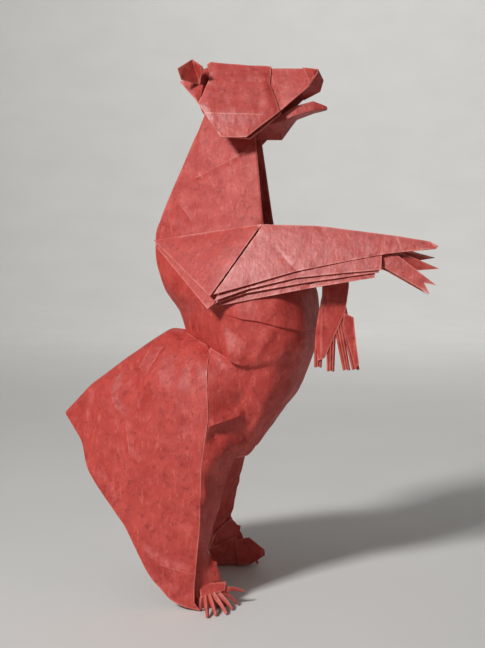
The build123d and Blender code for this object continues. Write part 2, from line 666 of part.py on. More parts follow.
with BuildPart() as legs:
    folded_sheet(
        [(Plane.XY.offset(share * RUMP_HEIGHT), leg_profile(share, f, i)) for share, f, i in leg_levels]
    )
    with BuildSketch(Plane.XY):
        with BuildLine():
            Polyline(*sole_outline, close=True)
        make_face()
    extrude(amount=PAPER)
    flap(instep_corners, instep_outline)
    for number, (forward, out, up) in enumerate(toe_tips):
        x, y, z = between(*instep, number / (len(toe_tips) - 1))
        claw((x, -ANKLE_OUT - y, z), (forward, -ANKLE_OUT - out, up), TOE_WIDTH, TOE_HEIGHT, taper=0.5)
    mirror(about=Plane.XZ)
    flap(left_foot_corners, left_foot_outline)

# The whole bear, trimmed level with the ground
body_stretches = (trunk, nape, rump, legs, shoulders, right_arm, left_arm)
head_stretches = (skull, cheeks, muzzle, nose_folds, nose, jaw, ears)
with BuildPart() as bear:
    for stretch in body_stretches + head_stretches:
        add(stretch.part)
    split(bisect_by=Plane.XY, keep=Keep.TOP)

# Set down with the middle of its outline over the origin
middle = bear.part.bounding_box().center()
origami_bear = Pos(-middle.X, -middle.Y, 0) * bear.part
origami_bear.label = "origami_bear"
os.makedirs("parts", exist_ok=True)
export_step(origami_bear, "parts/origami_bear.step")
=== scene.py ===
import math

import bmesh
import bpy
import numpy as np
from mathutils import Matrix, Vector, noise


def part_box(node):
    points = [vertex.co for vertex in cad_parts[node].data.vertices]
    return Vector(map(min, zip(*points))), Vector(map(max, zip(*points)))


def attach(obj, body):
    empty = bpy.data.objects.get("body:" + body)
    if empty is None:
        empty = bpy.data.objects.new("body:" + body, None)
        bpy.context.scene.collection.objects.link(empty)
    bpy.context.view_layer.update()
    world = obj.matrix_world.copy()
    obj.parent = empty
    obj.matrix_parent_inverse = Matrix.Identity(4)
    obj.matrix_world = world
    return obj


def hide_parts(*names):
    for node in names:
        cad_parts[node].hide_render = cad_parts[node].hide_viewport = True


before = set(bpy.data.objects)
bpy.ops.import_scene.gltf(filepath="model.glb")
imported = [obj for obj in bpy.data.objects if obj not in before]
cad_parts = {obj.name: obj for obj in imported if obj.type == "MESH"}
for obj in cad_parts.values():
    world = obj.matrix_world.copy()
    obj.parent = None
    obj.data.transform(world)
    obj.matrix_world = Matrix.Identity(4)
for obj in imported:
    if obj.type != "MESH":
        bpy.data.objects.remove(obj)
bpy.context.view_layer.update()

# Trunk: neck, chest and belly, one stretch of the sheet with its fold down the spine.
# Stiff handmade paper, two plies thick, its two front edges left open as a V at the neck
# and closed to a slit over the belly. All sizes are in millimetres, with the bear facing +X.
paper = 0.5
edge_ease = 0.12
cut_edge_angle = math.radians(60)
crisp_fold_angle = math.radians(32)
tail_back = -67.0
bear_low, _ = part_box("origami_bear")
shift = bear_low.x * 1000 - tail_back
trunk_top = 176.0
trunk_hem = 50.0
trunk_levels = np.array(
    [
        # height, back, front, half width, roundness
        (trunk_top, -10.8, 3.9, 3.6, 0.06),
        (129.0, -31.5, 9.6, 13.5, 0.06),
        (118.2, -31.7, 20.0, 18.0, 0.5),
        (108.0, -28.5, 27.0, 21.5, 1.0),
        (99.0, -23.1, 27.8, 22.5, 1.0),
        (93.0, -20.5, 27.5, 22.7, 1.0),
        (84.0, -19.5, 25.9, 22.5, 1.0),
        (82.0, -19.3, 24.7, 21.9, 1.0),
        (65.9, -18.0, 17.0, 19.5, 1.0),
        (trunk_hem, -17.0, 5.0, 14.5, 1.0),
    ]
)
pinch_levels = ((trunk_hem, 0.0), (65.9, 0.0), (82.0, 3.2), (83.6, 0.0), (trunk_top, 0.0))
flank_u = (0.0, 0.1, 0.22, 0.36, 0.5, 0.66, 0.8, 0.93, 1.0)
flank_round = (0.0, 0.32, 0.6, 0.84, 0.97, 1.0, 0.96, 0.68, 0.0)
flank_passes = 45
level_passes = 160
seam = 0.9


def settled(values, passes):
    """A row of values rounded off, with both ends held."""
    values = np.array(values, float)
    for _ in range(passes):
        values[1:-1] = (values[:-2] + 2 * values[1:-1] + values[2:]) / 4
    return values


def line_at(line, place):
    """What a bent line gives at a place along it: mostly its height."""
    return np.interp(place, *zip(*line))


def eased_columns(table, places, passes):
    """A table read off at places down its first column, each of its other columns rounded off."""
    return [settled(np.interp(places, table[:, 0], column), passes) for column in table.T[1:]]


fine_u = np.linspace(0, 1, 201)
fine_round = settled(np.interp(fine_u, flank_u, flank_round), flank_passes)
fine_z = np.linspace(trunk_hem, trunk_top, 505)
fine_levels = eased_columns(trunk_levels[::-1], fine_z, level_passes)


def trunk_at(u, z):
    """Forward and outward place of the trunk's flank, u from the spine to the front edge."""
    back, front, half, round_share = (np.interp(z, fine_z, level) for level in fine_levels)
    full = np.interp(u, fine_u, fine_round)
    pinched = line_at(pinch_levels, z) * (1 - u) * full
    out = half * ((1 - round_share) * u + round_share * full) - pinched
    return back + (front - back) * u, out + np.where(u > 0.999, seam / 2, 0.0)


def flank_out(x, z):
    """How far out the trunk's flank is at this place in the side view."""
    back, front = (np.interp(z, fine_z, level) for level in fine_levels[:2])
    return float(trunk_at(np.clip((x - back) / (front - back), 0.0, 0.99), z)[1])


def off_line(points, line):
    """Distance of each point from a bent line drawn on the side view."""
    flat = points[:, (0, 2)]
    best = np.full(len(flat), np.inf)
    for a, b in zip(line, line[1:]):
        a, run = np.array(a), np.array(b) - np.array(a)
        along = np.clip((flat - a) @ run / (run @ run), 0, 1)
        best = np.minimum(best, np.linalg.norm(flat - a - along[:, None] * run, axis=1))
    return best


def creased(points, creases):
    """Lift of the paper along its creases: each is a line, a height and a half width."""
    lift = np.zeros(len(points))
    for line, height, width in creases:
        lift += height * np.clip(1 - off_line(points, line) / width, 0, 1)
    return lift


def crumpled(points, depth, size):
    """Lift of the paper where handling has dented it into small facets with sharp valleys between."""
    apart = Vector((7.3, 1.9, 4.1))
    lift = np.empty(len(points))
    for i, point in enumerate(points):
        at = Vector(point) / size
        swell = noise.noise(at * 0.6)
        valleys = abs(noise.noise(at * 0.8 + apart)) + 0.6 * abs(noise.noise(at * 1.9))
        lift[i] = 0.8 * swell + 1.5 * valleys - 0.5
    return depth * lift


def draw_row(grid, line, level, above, fade):
    """Draw the grid's row at one level onto a bent line, and move the rows near it along."""
    grid[:, :, 2] += (line_at(line, grid[:, :, 0]) - level) * np.clip(1 - np.abs(above) / fade, 0, 1)


def paper_mesh(name, points, faces, wear_and_highlight):
    """A mesh in the part's frame, with how pale the paper is painted at each of its points: worn edges and a
    painted highlight along edges and folds.
    """
    mesh = bpy.data.meshes.new(name)
    mesh.from_pydata(((np.asarray(points) + (shift, 0, 0)) / 1000).tolist(), [], faces)
    mesh.attributes.new("wear_and_highlight", "FLOAT", "POINT").data.foreach_set("value", np.asarray(wear_and_highlight, np.float32))
    return mesh


def paper_piece(name, mesh, material):
    """A finished stretch of paper in its place on the bear."""
    mesh.materials.clear()
    mesh.materials.append(material)
    piece = bpy.data.objects.new(name, mesh)
    bpy.context.scene.collection.objects.link(piece)
    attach(piece, "root")
    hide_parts("origami_bear")


def paper_object(name, points, faces, wear_and_highlight, material, folded=True):
    """A stretch of paper from its middle surface: thickened, its edges eased and its folds kept crisp."""
    raw = bpy.data.objects.new(name + "_raw", paper_mesh(name, points, faces, wear_and_highlight))
    bpy.context.scene.collection.objects.link(raw)
    thick = raw.modifiers.new("plies", "SOLIDIFY")
    thick.thickness = paper / 1000
    thick.offset = 0.0
    thick.use_even_offset = folded
    thick.thickness_clamp = 1.0
    ease = raw.modifiers.new("eased", "BEVEL")
    ease.width = edge_ease / 1000
    ease.segments = 1
    ease.limit_method = "ANGLE"
    ease.angle_limit = cut_edge_angle
    done = bpy.data.meshes.new_from_object(raw.evaluated_get(bpy.context.evaluated_depsgraph_get()))
    bpy.data.objects.remove(raw)
    done.name = name
    done.shade_smooth()
    done.set_sharp_from_angle(angle=crisp_fold_angle)
    paper_piece(name, done, material)


def grid_paper(name, grid, material, lift, folds=(), edge_rub_and_highlight=0.9, fold_rub_and_highlight=0.7, rubbed_and_lit=None):
    """A sheet given as rows of points, lifted off itself by its dents and creases."""
    rows, columns, _ = grid.shape
    across = np.gradient(grid, axis=1)
    along = np.gradient(grid, axis=0)
    normal = np.cross(across, along)
    normal /= np.maximum(np.linalg.norm(normal, axis=2, keepdims=True), 1e-9)
    points = grid.reshape(-1, 3) + normal.reshape(-1, 3) * lift.reshape(-1, 1)
    # Edges and folds are painted pale: partly wear, partly a painted highlight where light catches them.
    wear_and_highlight = np.zeros((rows, columns)) if rubbed_and_lit is None else rubbed_and_lit
    wear_and_highlight[(0, -1), :] = edge_rub_and_highlight
    wear_and_highlight[:, (0, -1)] = edge_rub_and_highlight
    for column in folds:
        wear_and_highlight[:, column] = fold_rub_and_highlight
    faces = [
        (i * columns + j, i * columns + j + 1, (i + 1) * columns + j + 1, (i + 1) * columns + j)
        for i in range(rows - 1)
        for j in range(columns - 1)
    ]
    paper_object(name, points, faces, wear_and_highlight.ravel(), material)


def srgb(red, green, blue):
    """A colour as it is written on a paint card, 0 to 255, for a shader."""
    linear = []
    for written in (red, green, blue):
        share = written / 255
        linear.append(share / 12.92 if written <= 10 else ((share + 0.055) / 1.055) ** 2.4)
    return (*linear, 1.0)


deep_red = srgb(166, 49, 43)
bright_red = srgb(197, 76, 67)
plain_red = srgb(176, 50, 43)
stain_red = srgb(134, 34, 30)
speck_red = srgb(112, 27, 24)
fibre_pink = srgb(224, 122, 109)
rubbed_and_highlight_pink = srgb(226, 138, 124)
crease_pink = srgb(230, 150, 136)
fibre_stretch = (1.0, 1.0, 0.35)
crease_half_width = 0.3


def crease_line_group():
    """A line on the side view, 1 on the line and 0 away from it."""
    group = bpy.data.node_groups.new("crease line", "ShaderNodeTree")
    for socket in ("Place", "From", "To"):
        group.interface.new_socket(socket, in_out="INPUT", socket_type="NodeSocketVector")
    group.interface.new_socket("Width", in_out="INPUT", socket_type="NodeSocketFloat")
    group.interface.new_socket("Line", in_out="OUTPUT", socket_type="NodeSocketFloat")
    given, result = group.nodes.new("NodeGroupInput"), group.nodes.new("NodeGroupOutput")

    def vector(operation, a, b):
        step = group.nodes.new("ShaderNodeVectorMath")
        step.operation = operation
        group.links.new(a, step.inputs[0])
        group.links.new(b, step.inputs[1])
        return step

    from_start = vector("SUBTRACT", given.outputs["Place"], given.outputs["From"]).outputs[0]
    run = vector("SUBTRACT", given.outputs["To"], given.outputs["From"]).outputs[0]
    share = group.nodes.new("ShaderNodeMath")
    share.operation = "DIVIDE"
    share.use_clamp = True
    group.links.new(vector("DOT_PRODUCT", from_start, run).outputs[1], share.inputs[0])
    group.links.new(vector("DOT_PRODUCT", run, run).outputs[1], share.inputs[1])
    reach = group.nodes.new("ShaderNodeVectorMath")
    reach.operation = "SCALE"
    group.links.new(run, reach.inputs[0])
    group.links.new(share.outputs[0], reach.inputs["Scale"])
    away = vector("DISTANCE", from_start, reach.outputs[0]).outputs[1]
    fade = group.nodes.new("ShaderNodeMapRange")
    fade.interpolation_type = "SMOOTHSTEP"
    fade.inputs["To Min"].default_value = 1.0
    fade.inputs["To Max"].default_value = 0.0
    group.links.new(away, fade.inputs["Value"])
    group.links.new(given.outputs["Width"], fade.inputs["From Max"])
    group.links.new(fade.outputs["Result"], result.inputs["Line"])
    return group


crease_line = crease_line_group()


def red_paper(name, creases=(), pressed=False):
    """Dyed handmade paper: mottled red, streaked fibres, pale crease lines, and pale pink along its edges and
    folds, partly wear and partly a painted highlight.
    """
    dull, shiny = (0.52, 0.42) if pressed else (0.62, 0.47)
    gloss = 0.75 if pressed else 0.42
    faint, clear = (0.25, 0.8) if pressed else (0.03, 0.36)
    material = bpy.data.materials.new(name)
    material.use_nodes = True
    nodes, links = material.node_tree.nodes, material.node_tree.links
    shader = nodes["Principled BSDF"]
    place = nodes.new("ShaderNodeTexCoord").outputs["Object"]

    def scaled(by):
        step = nodes.new("ShaderNodeVectorMath")
        step.operation = "MULTIPLY"
        step.inputs[1].default_value = by
        links.new(place, step.inputs[0])
        return step.outputs[0]

    def cloud(scale, detail, where=place):
        texture = nodes.new("ShaderNodeTexNoise")
        texture.inputs["Scale"].default_value = scale
        texture.inputs["Detail"].default_value = detail
        texture.inputs["Roughness"].default_value = 0.6
        links.new(where, texture.inputs["Vector"])
        return texture.outputs["Fac"]

    def ranged(value, low_in, high_in, low_out=0.0, high_out=1.0):
        fade = nodes.new("ShaderNodeMapRange")
        fade.inputs["From Min"].default_value = low_in
        fade.inputs["From Max"].default_value = high_in
        fade.inputs["To Min"].default_value = low_out
        fade.inputs["To Max"].default_value = high_out
        links.new(value, fade.inputs["Value"])
        return fade.outputs["Result"]

    def combined(operation, a, b):
        step = nodes.new("ShaderNodeMath")
        step.operation = operation
        links.new(a, step.inputs[0])
        links.new(b, step.inputs[1])
        return step.outputs[0]

    def tinted(amount, under, over):
        mix = nodes.new("ShaderNodeMix")
        mix.data_type = "RGBA"
        links.new(amount, mix.inputs["Factor"])
        for socket, colour in ((mix.inputs["A"], under), (mix.inputs["B"], over)):
            if isinstance(colour, tuple):
                socket.default_value = colour
            else:
                links.new(colour, socket)
        return mix.outputs["Result"]

    broad = cloud(45.0, 3.0)
    mottle = cloud(190.0, 8.0)
    fibres = cloud(700.0, 5.0, scaled(fibre_stretch))
    stains = cloud(520.0, 6.0)
    specks = cloud(800.0, 3.0)
    colour = tinted(ranged(mottle, 0.3, 0.7), deep_red, bright_red)
    colour = tinted(ranged(broad, 0.35, 0.7, 0.0, 0.28), colour, plain_red)
    colour = tinted(ranged(fibres, 0.55, 0.74, 0.0, 0.42), colour, fibre_pink)
    colour = tinted(ranged(stains, 0.55, 0.68, 0.0, 0.6), colour, stain_red)
    colour = tinted(ranged(specks, 0.6, 0.74, 0.0, 0.5), colour, speck_red)
    # Pale pink where the paper is worn and where a highlight is painted along its edges and folds.
    attribute = nodes.new("ShaderNodeAttribute")
    attribute.attribute_name = "wear_and_highlight"
    rubbed_and_lit = combined("MULTIPLY", attribute.outputs["Fac"], ranged(mottle, 0.35, 0.65, 0.55, 1.0))
    colour = tinted(ranged(rubbed_and_lit, 0.25, 1.0, 0.0, 0.7), colour, rubbed_and_highlight_pink)
    strokes = [ends for line in creases for ends in zip(line, line[1:])]
    if strokes:
        side_view = scaled((1.0, 0.0, 1.0))
        lines = None
        for (x0, z0), (x1, z1) in strokes:
            stroke = nodes.new("ShaderNodeGroup")
            stroke.node_tree = crease_line
            stroke.inputs["From"].default_value = ((x0 + shift) / 1000, 0, z0 / 1000)
            stroke.inputs["To"].default_value = ((x1 + shift) / 1000, 0, z1 / 1000)
            stroke.inputs["Width"].default_value = crease_half_width / 1000
            links.new(side_view, stroke.inputs["Place"])
            lines = stroke.outputs[0] if lines is None else combined("MAXIMUM", lines, stroke.outputs[0])
        broken = combined("MULTIPLY", lines, ranged(stains, 0.38, 0.62, faint, clear))
        colour = tinted(broken, colour, crease_pink)
    links.new(colour, shader.inputs["Base Color"])
    links.new(ranged(mottle, 0.3, 0.7, dull, shiny), shader.inputs["Roughness"])
    shader.inputs["Specular IOR Level"].default_value = gloss
    wrinkles = nodes.new("ShaderNodeTexNoise")
    wrinkles.noise_type = "RIDGED_MULTIFRACTAL"
    wrinkles.inputs["Scale"].default_value = 55.0
    wrinkles.inputs["Detail"].default_value = 3.0
    links.new(place, wrinkles.inputs["Vector"])
    creasing = nodes.new("ShaderNodeBump")
    creasing.inputs["Strength"].default_value = 0.45
    creasing.inputs["Distance"].default_value = 0.0003
    links.new(wrinkles.outputs["Fac"], creasing.inputs["Height"])
    grain = nodes.new("ShaderNodeBump")
    grain.inputs["Strength"].default_value = 0.6
    grain.inputs["Distance"].default_value = 0.0002
    links.new(combined("ADD", fibres, stains), grain.inputs["Height"])
    links.new(creasing.outputs["Normal"], grain.inputs["Normal"])
    links.new(grain.outputs["Normal"], shader.inputs["Normal"])
    return material


neck_crease = ((-16.4, 148.0), (3.2, 157.0))
hump_crease = ((-22.4, 138.8), (-16.9, 132.3))
trunk_creases = (
    # line, height, half width
    (neck_crease, 0.35, 1.6),
    (hump_crease, 0.3, 1.4),
    (((3.3, 156.7), (6.1, 151.6)), -0.3, 1.5),
    (((-16.0, 170.0), (-14.6, 158.0)), 0.25, 1.5),
    (((12.5, 94.0), (9.0, 86.0)), 0.6, 3.0),
    (((17.0, 93.0), (16.0, 80.0)), -0.4, 3.0),
    (((-31.0, 133.5), (-24.0, 130.5)), 0.5, 1.6),
    (((-18.0, 108.0), (-15.0, 94.0)), 0.35, 1.3),
    (((-14.5, 106.0), (-12.0, 92.0)), 0.35, 1.3),
    (((-10.5, 102.0), (-9.0, 91.0)), -0.35, 1.5),
    (((-29.0, 130.5), (-26.0, 134.0)), -0.4, 1.6),
)
looseness_levels = ((trunk_hem, 0.5), (100.0, 0.42), (112.0, 0.3), (128.0, 0.16), (trunk_top, 0.12))
trunk_dent_size = 11.0
edge_hold = 0.06
spine_hold = 0.05
pleat_level = 98.55
pleat_edge = 98.75
pleat_height = 0.9
pleat_fade = 9.0
pleat_back = -4.0
pleat_back_run = 8.0
pleat_front = 27.0
pleat_front_run = 4.0
belly_pleat = ((-2.0, 100.5), (4.2, 99.0), (9.2, 98.5), (15.3, 96.8), (22.2, 95.2), (pleat_front, 94.8))
pinch_level = 84.2
pinch_fade = 8.0
pinch_line = (
    (-9.0, 88.9),
    (-1.0, 85.6),
    (1.2, 84.3),
    (4.4, 82.7),
    (7.5, 83.8),
    (11.1, 85.0),
    (15.0, 86.0),
    (18.0, 86.4),
)
sag_top = 97.0
sag_foot = 83.7
sag_height = 9.5
sag_slope = 0.3
facet_top = 96.0
facet_height = 11.5
facet_width = 5.4
facet_slope = 0.3
crest_back = -2.8
crest_run = 3.6
behind_crest = 4.5
ahead_slope = 0.42
hem_top = 72.0
arch_rise = 8.0
arch_half = 9.0


def belly_sag(points):
    """Lift where the belly sags over the pinch: a crest, with a facet turned up to the light ahead of it."""
    x, z = points[:, 0], points[:, 2]
    down_facet = np.clip((facet_top - z) / facet_height, 0, 1)
    crest = crest_back + crest_run * down_facet
    facet = facet_width * (1 - down_facet)
    sag = sag_slope * np.clip(sag_top - z, 0, sag_height)
    behind = sag * np.clip(1 - (crest - x) / behind_crest, 0, 1)
    from_crest = x - crest
    on_facet = facet_slope * np.minimum(from_crest, facet)
    ahead = sag - on_facet - ahead_slope * np.maximum(from_crest - facet, 0)
    return np.where(x < crest, behind, np.clip(ahead, 0, None))


# The rows lie close together at the pleat across the belly and at the pinch under it.
heights = np.concatenate(
    [
        np.linspace(trunk_top, 104, 66),
        np.arange(103, 99, -0.8),
        (pleat_edge, 98.35),
        np.arange(97.6, pinch_level, -0.8),
        (sag_foot, 82.9, 82.0),
        np.linspace(81.2, trunk_hem, 30),
    ]
)
spread = np.linspace(-1, 1, 145)
spine_column = len(spread) // 2
from_spine = np.abs(spread)
trunk = np.zeros((len(heights), len(spread), 3))
for i, z in enumerate(heights):
    forward, outward = trunk_at(from_spine, z)
    trunk[i] = np.stack((forward, np.sign(spread) * outward, np.full(len(spread), z)), axis=1)
draw_row(trunk, belly_pleat, pleat_level, trunk[:, :, 2] - pleat_level, pleat_fade)
draw_row(trunk, pinch_line, pinch_level, heights[:, None] - pinch_level, pinch_fade)
arch = trunk_hem + np.clip(arch_rise - arch_rise / arch_half * np.abs(trunk[:, :, 1]), 0, arch_rise)
arched = arch + (trunk[:, :, 2] - trunk_hem) * (hem_top - arch) / (hem_top - trunk_hem)
trunk[:, :, 2] = np.where(trunk[:, :, 2] < hem_top, arched, trunk[:, :, 2])
flat_points = trunk.reshape(-1, 3)
held = np.clip((1 - from_spine) / edge_hold, 0, 1) * np.clip(from_spine / spine_hold, 0, 1)
looseness = line_at(looseness_levels, heights)
lift = crumpled(flat_points, 1.0, trunk_dent_size).reshape(trunk.shape[:2]) * looseness[:, None] * held
lift += creased(flat_points, trunk_creases).reshape(trunk.shape[:2]) * held
lift += belly_sag(flat_points).reshape(trunk.shape[:2]) * np.clip(heights - sag_foot, 0, 1)[:, None]
over_pleat = np.where(heights >= pleat_edge, np.clip(1 - (heights - pleat_edge) / pleat_fade, 0, 1), 0)
pleat_reach = np.clip((trunk[:, :, 0] - pleat_back) / pleat_back_run, 0, 1)
pleat_reach *= np.clip((pleat_front - trunk[:, :, 0]) / pleat_front_run, 0, 1)
lift += pleat_height * over_pleat[:, None] * pleat_reach
grid_paper("trunk", trunk, red_paper("trunk paper", (neck_crease, hump_crease)), lift, folds=(spine_column,))

# Rump: one draped stretch over the lower back, from the tail corner to both haunches.
# The same paper, rounded over the back by hand, with a dent pressed into each haunch; its
# front folds hang free beside the legs, and its top edge opens beside the belly.
rump_length = 58.0
front_x = tail_back + rump_length
rump_stations = np.array(
    [
        # along from the tail to the front folds, ridge, hem, half width at the hem, roundness, lean
        (0.0, 62.2, 61.5, 0.7, 0.6, 0.0),
        (0.172, 72.3, 52.6, 10.0, 0.42, 0.0),
        (0.21, 73.9, 44.9, 13.5, 0.40, 0.0),
        (0.303, 77.8, 38.5, 17.0, 0.36, 0.0),
        (0.41, 82.4, 32.2, 20.4, 0.33, 0.0),
        (0.507, 86.2, 26.4, 23.0, 0.30, 0.0),
        (0.59, 89.6, 18.4, 25.2, 0.27, 0.0),
        (0.672, 92.6, 10.6, 27.0, 0.24, 0.0),
        (0.71, 94.0, 8.4, 27.6, 0.22, 0.0),
        (0.814, 93.2, 3.5, 29.0, 0.18, 0.2),
        (0.91, 92.0, 1.2, 29.7, 0.15, 0.5),
        (1.0, 90.4, 0.3, 30.0, 0.12, 0.75),
    ]
)
front_fold = (
    # height, forward
    (-1.1, -7.6),
    (2.6, -11.3),
    (9.0, -11.3),
    (28.7, -9.6),
    (48.9, -9.2),
    (65.8, -7.1),
    (87.9, -8.8),
    (98.7, -8.8),
)
station_passes = 3
fold_start = 0.75
lean_power = 28
peak_fall = 0.2
edge_start = -26.0
edge_column = 4
edge_heights = ((edge_start, 93.8), (-21.6, 93.0), (-10.5, 88.9), (front_x, 88.5))
edge_half_widths = ((edge_start, 1.2), (-22.0, 1.8), (-20.0, 3.0))
peak_shares = ((-42.0, 0.0), (edge_start, 1.0), (-20.0, 1.0), (-12.0, 0.0))
edge_gap = 1.2
drape_gap = 0.7
drape_level = 60.0
tuck_start = -21.0
tuck_run = 3.0
tuck_depth = 2.5


def fold_at(z):
    """How far forward a haunch's front fold is at this height."""
    return line_at(front_fold, z)


def drape_out(fall, half, roundness, lean, peaked):
    """How far out the drape hangs, fall from its ridge to its hem; peaked where the ridge is sharp."""
    rounded = half * fall**roundness * (1 - lean * (1 - fall) ** lean_power)
    tent = half * peak_fall**roundness * (np.minimum(fall, peak_fall) / peak_fall) ** 0.5
    return np.where(fall < peak_fall, rounded + (np.minimum(tent, rounded) - rounded) * peaked, rounded)


def haunch_out(z):
    """How far out a haunch's front fold is at this height."""
    _, ridge, rim, half, roundness, lean = rump_stations[-1]
    fall = np.clip((ridge - z) / (ridge - rim), 0, 1)
    return float(drape_out(fall, half, roundness, lean, 0.0))


back_creases = (((-31.4, 88.2), (-35.0, 80.6)), ((-27.0, 88.0), (-32.0, 78.6)))
haunch_crease = ((-38.5, 61.5), (-36.6, 51.9), (-32.6, 48.9))
heel_fold = ((-23.3, 15.0), (-11.5, 12.9))
dent_rim = ((-43.9, 67.7), (-39.7, 65.4), (-35.4, 64.5), (-30.6, 68.2))
rump_creases = (
    (dent_rim, 0.5, 1.2),
    (((-54.4, 72.5), (-54.5, 67.0), (-55.3, 55.8)), -0.9, 2.2),
    (((-16.3, 87.7), (-19.3, 65.6)), 0.45, 3.5),
    (((-48.0, 46.0), (-40.0, 36.0)), -0.4, 2.5),
    (back_creases[0], 0.5, 1.4),
    (back_creases[1], -0.5, 1.6),
    (haunch_crease, 0.45, 1.6),
    (((-43.3, 52.0), (-36.6, 51.9)), 0.3, 1.8),
    (((-19.5, 37.0), (-9.8, 36.1)), -0.5, 1.8),
    (((-18.6, 27.3), (-9.6, 26.4)), 0.55, 2.0),
    (((-29.5, 18.5), *heel_fold), 1.0, 2.6),
    (((-27.4, 11.3), (-12.2, 6.0)), -0.9, 2.6),
)
rump_lines = (*back_creases, heel_fold, haunch_crease)
along = np.linspace(0, 1, 84)
drape = np.concatenate([np.linspace(0, 1, 11)[:-1] ** 2 * 0.1, np.linspace(0.1, 1, 62)])
down = np.concatenate([-drape[:0:-1], drape])
sides = np.sign(down)
middle_column = len(drape) - 1
edge_fall = drape[edge_column]
stations = eased_columns(rump_stations, along, station_passes)
rump = np.zeros((len(along), len(down), 3))
for i, share in enumerate(along):
    ridge, rim, half, roundness, lean = (values[i] for values in stations)
    x = tail_back + rump_length * share
    height = ridge + (rim - ridge) * np.abs(down)
    peaked = line_at(peak_shares, x)
    outward = drape_out(np.abs(down), half, roundness, lean, peaked) * sides
    if x > edge_start:
        top = line_at(edge_heights, x)
        beside = max(flank_out(x, top) + edge_gap, line_at(edge_half_widths, x))
        tucked = np.clip((x - tuck_start) / tuck_run, 0, 1)
        for column in range(len(down)):
            step = abs(column - middle_column)
            if step <= edge_column:
                inward = 1 - step / edge_column
                roof = top + (ridge - top) * inward**1.5
                tucked_roof = top - tuck_depth * min(1.0, inward / 0.25)
                height[column] = roof + (tucked_roof - roof) * tucked
                outward[column] = sides[column] * beside * (1 - inward)
            else:
                lower = (abs(down[column]) - edge_fall) / (1 - edge_fall)
                height[column] = top + (rim - top) * lower
                fall = np.clip((ridge - height[column]) / (ridge - rim), 0, 1)
                out = max(drape_out(fall, half, roundness, lean, peaked), beside)
                if height[column] > drape_level:
                    out = max(out, flank_out(x, height[column]) + drape_gap)
                outward[column] = sides[column] * out
    ahead = np.clip((share - fold_start) / (1 - fold_start), 0, 1)
    forward = x + (fold_at(height) - front_x) * ahead
    rump[i] = np.stack((forward, outward, height), axis=1)
dent_x = -37.3
dent_z = 73.2
dent_reach = 8.6
dent_depth = 1.1
wall_ahead = 7.0
steeper_to_tail = 3.8
steeper_to_hem = 5.3
steepest_wall = 1.4
dent_ahead = rump[:, :, 0] - dent_x
dent_above = rump[:, :, 2] - dent_z
from_dent = np.hypot(dent_ahead, dent_above * 0.9)
around_dent = np.arctan2(dent_above, dent_ahead)
to_tail = np.clip(1.3 * np.cos(around_dent - math.pi), 0, 1)
to_hem = np.clip(1.3 * np.cos(around_dent + math.pi / 2), 0, 1)
dent_wall = np.maximum(wall_ahead - steeper_to_tail * to_tail - steeper_to_hem * to_hem, steepest_wall)
dent = np.clip((dent_reach - from_dent) / dent_wall, 0, 1)
rump_dents = 0.36
rump_dent_size = 13.0
rump_hold = 0.04
edge_wear_and_highlight_level = 0.8
edge_wear_and_highlight_run = 5.0
end_held = np.clip(np.minimum(along, 1 - along) / rump_hold, 0, 1)[:, None]
hem_held = np.clip((1 - np.abs(down)) / rump_hold, 0, 1)
ridge_held = np.clip((np.abs(down) - edge_fall) / rump_hold + 0.1, 0, 1)
flat_points = rump.reshape(-1, 3)
# The grid of the rump faces inward, so its creases are turned about and its dent isn't.
lift = crumpled(flat_points, rump_dents, rump_dent_size) + creased(flat_points, rump_creases)
lift = -lift.reshape(rump.shape[:2]) + dent_depth * dent * dent * (3 - 2 * dent)
lift *= end_held * hem_held * ridge_held
# A painted highlight along the rump's top edge beside the belly, with some wear.
edge_wear_and_highlight = np.zeros(rump.shape[:2])
past_start = np.clip((tail_back + rump_length * along - edge_start) / edge_wear_and_highlight_run, 0, 1)
for column in (middle_column - edge_column, middle_column + edge_column):
    edge_wear_and_highlight[:, column] = past_start * edge_wear_and_highlight_level
grid_paper("rump", rump, red_paper("rump paper", rump_lines), lift, rubbed_and_lit=edge_wear_and_highlight)

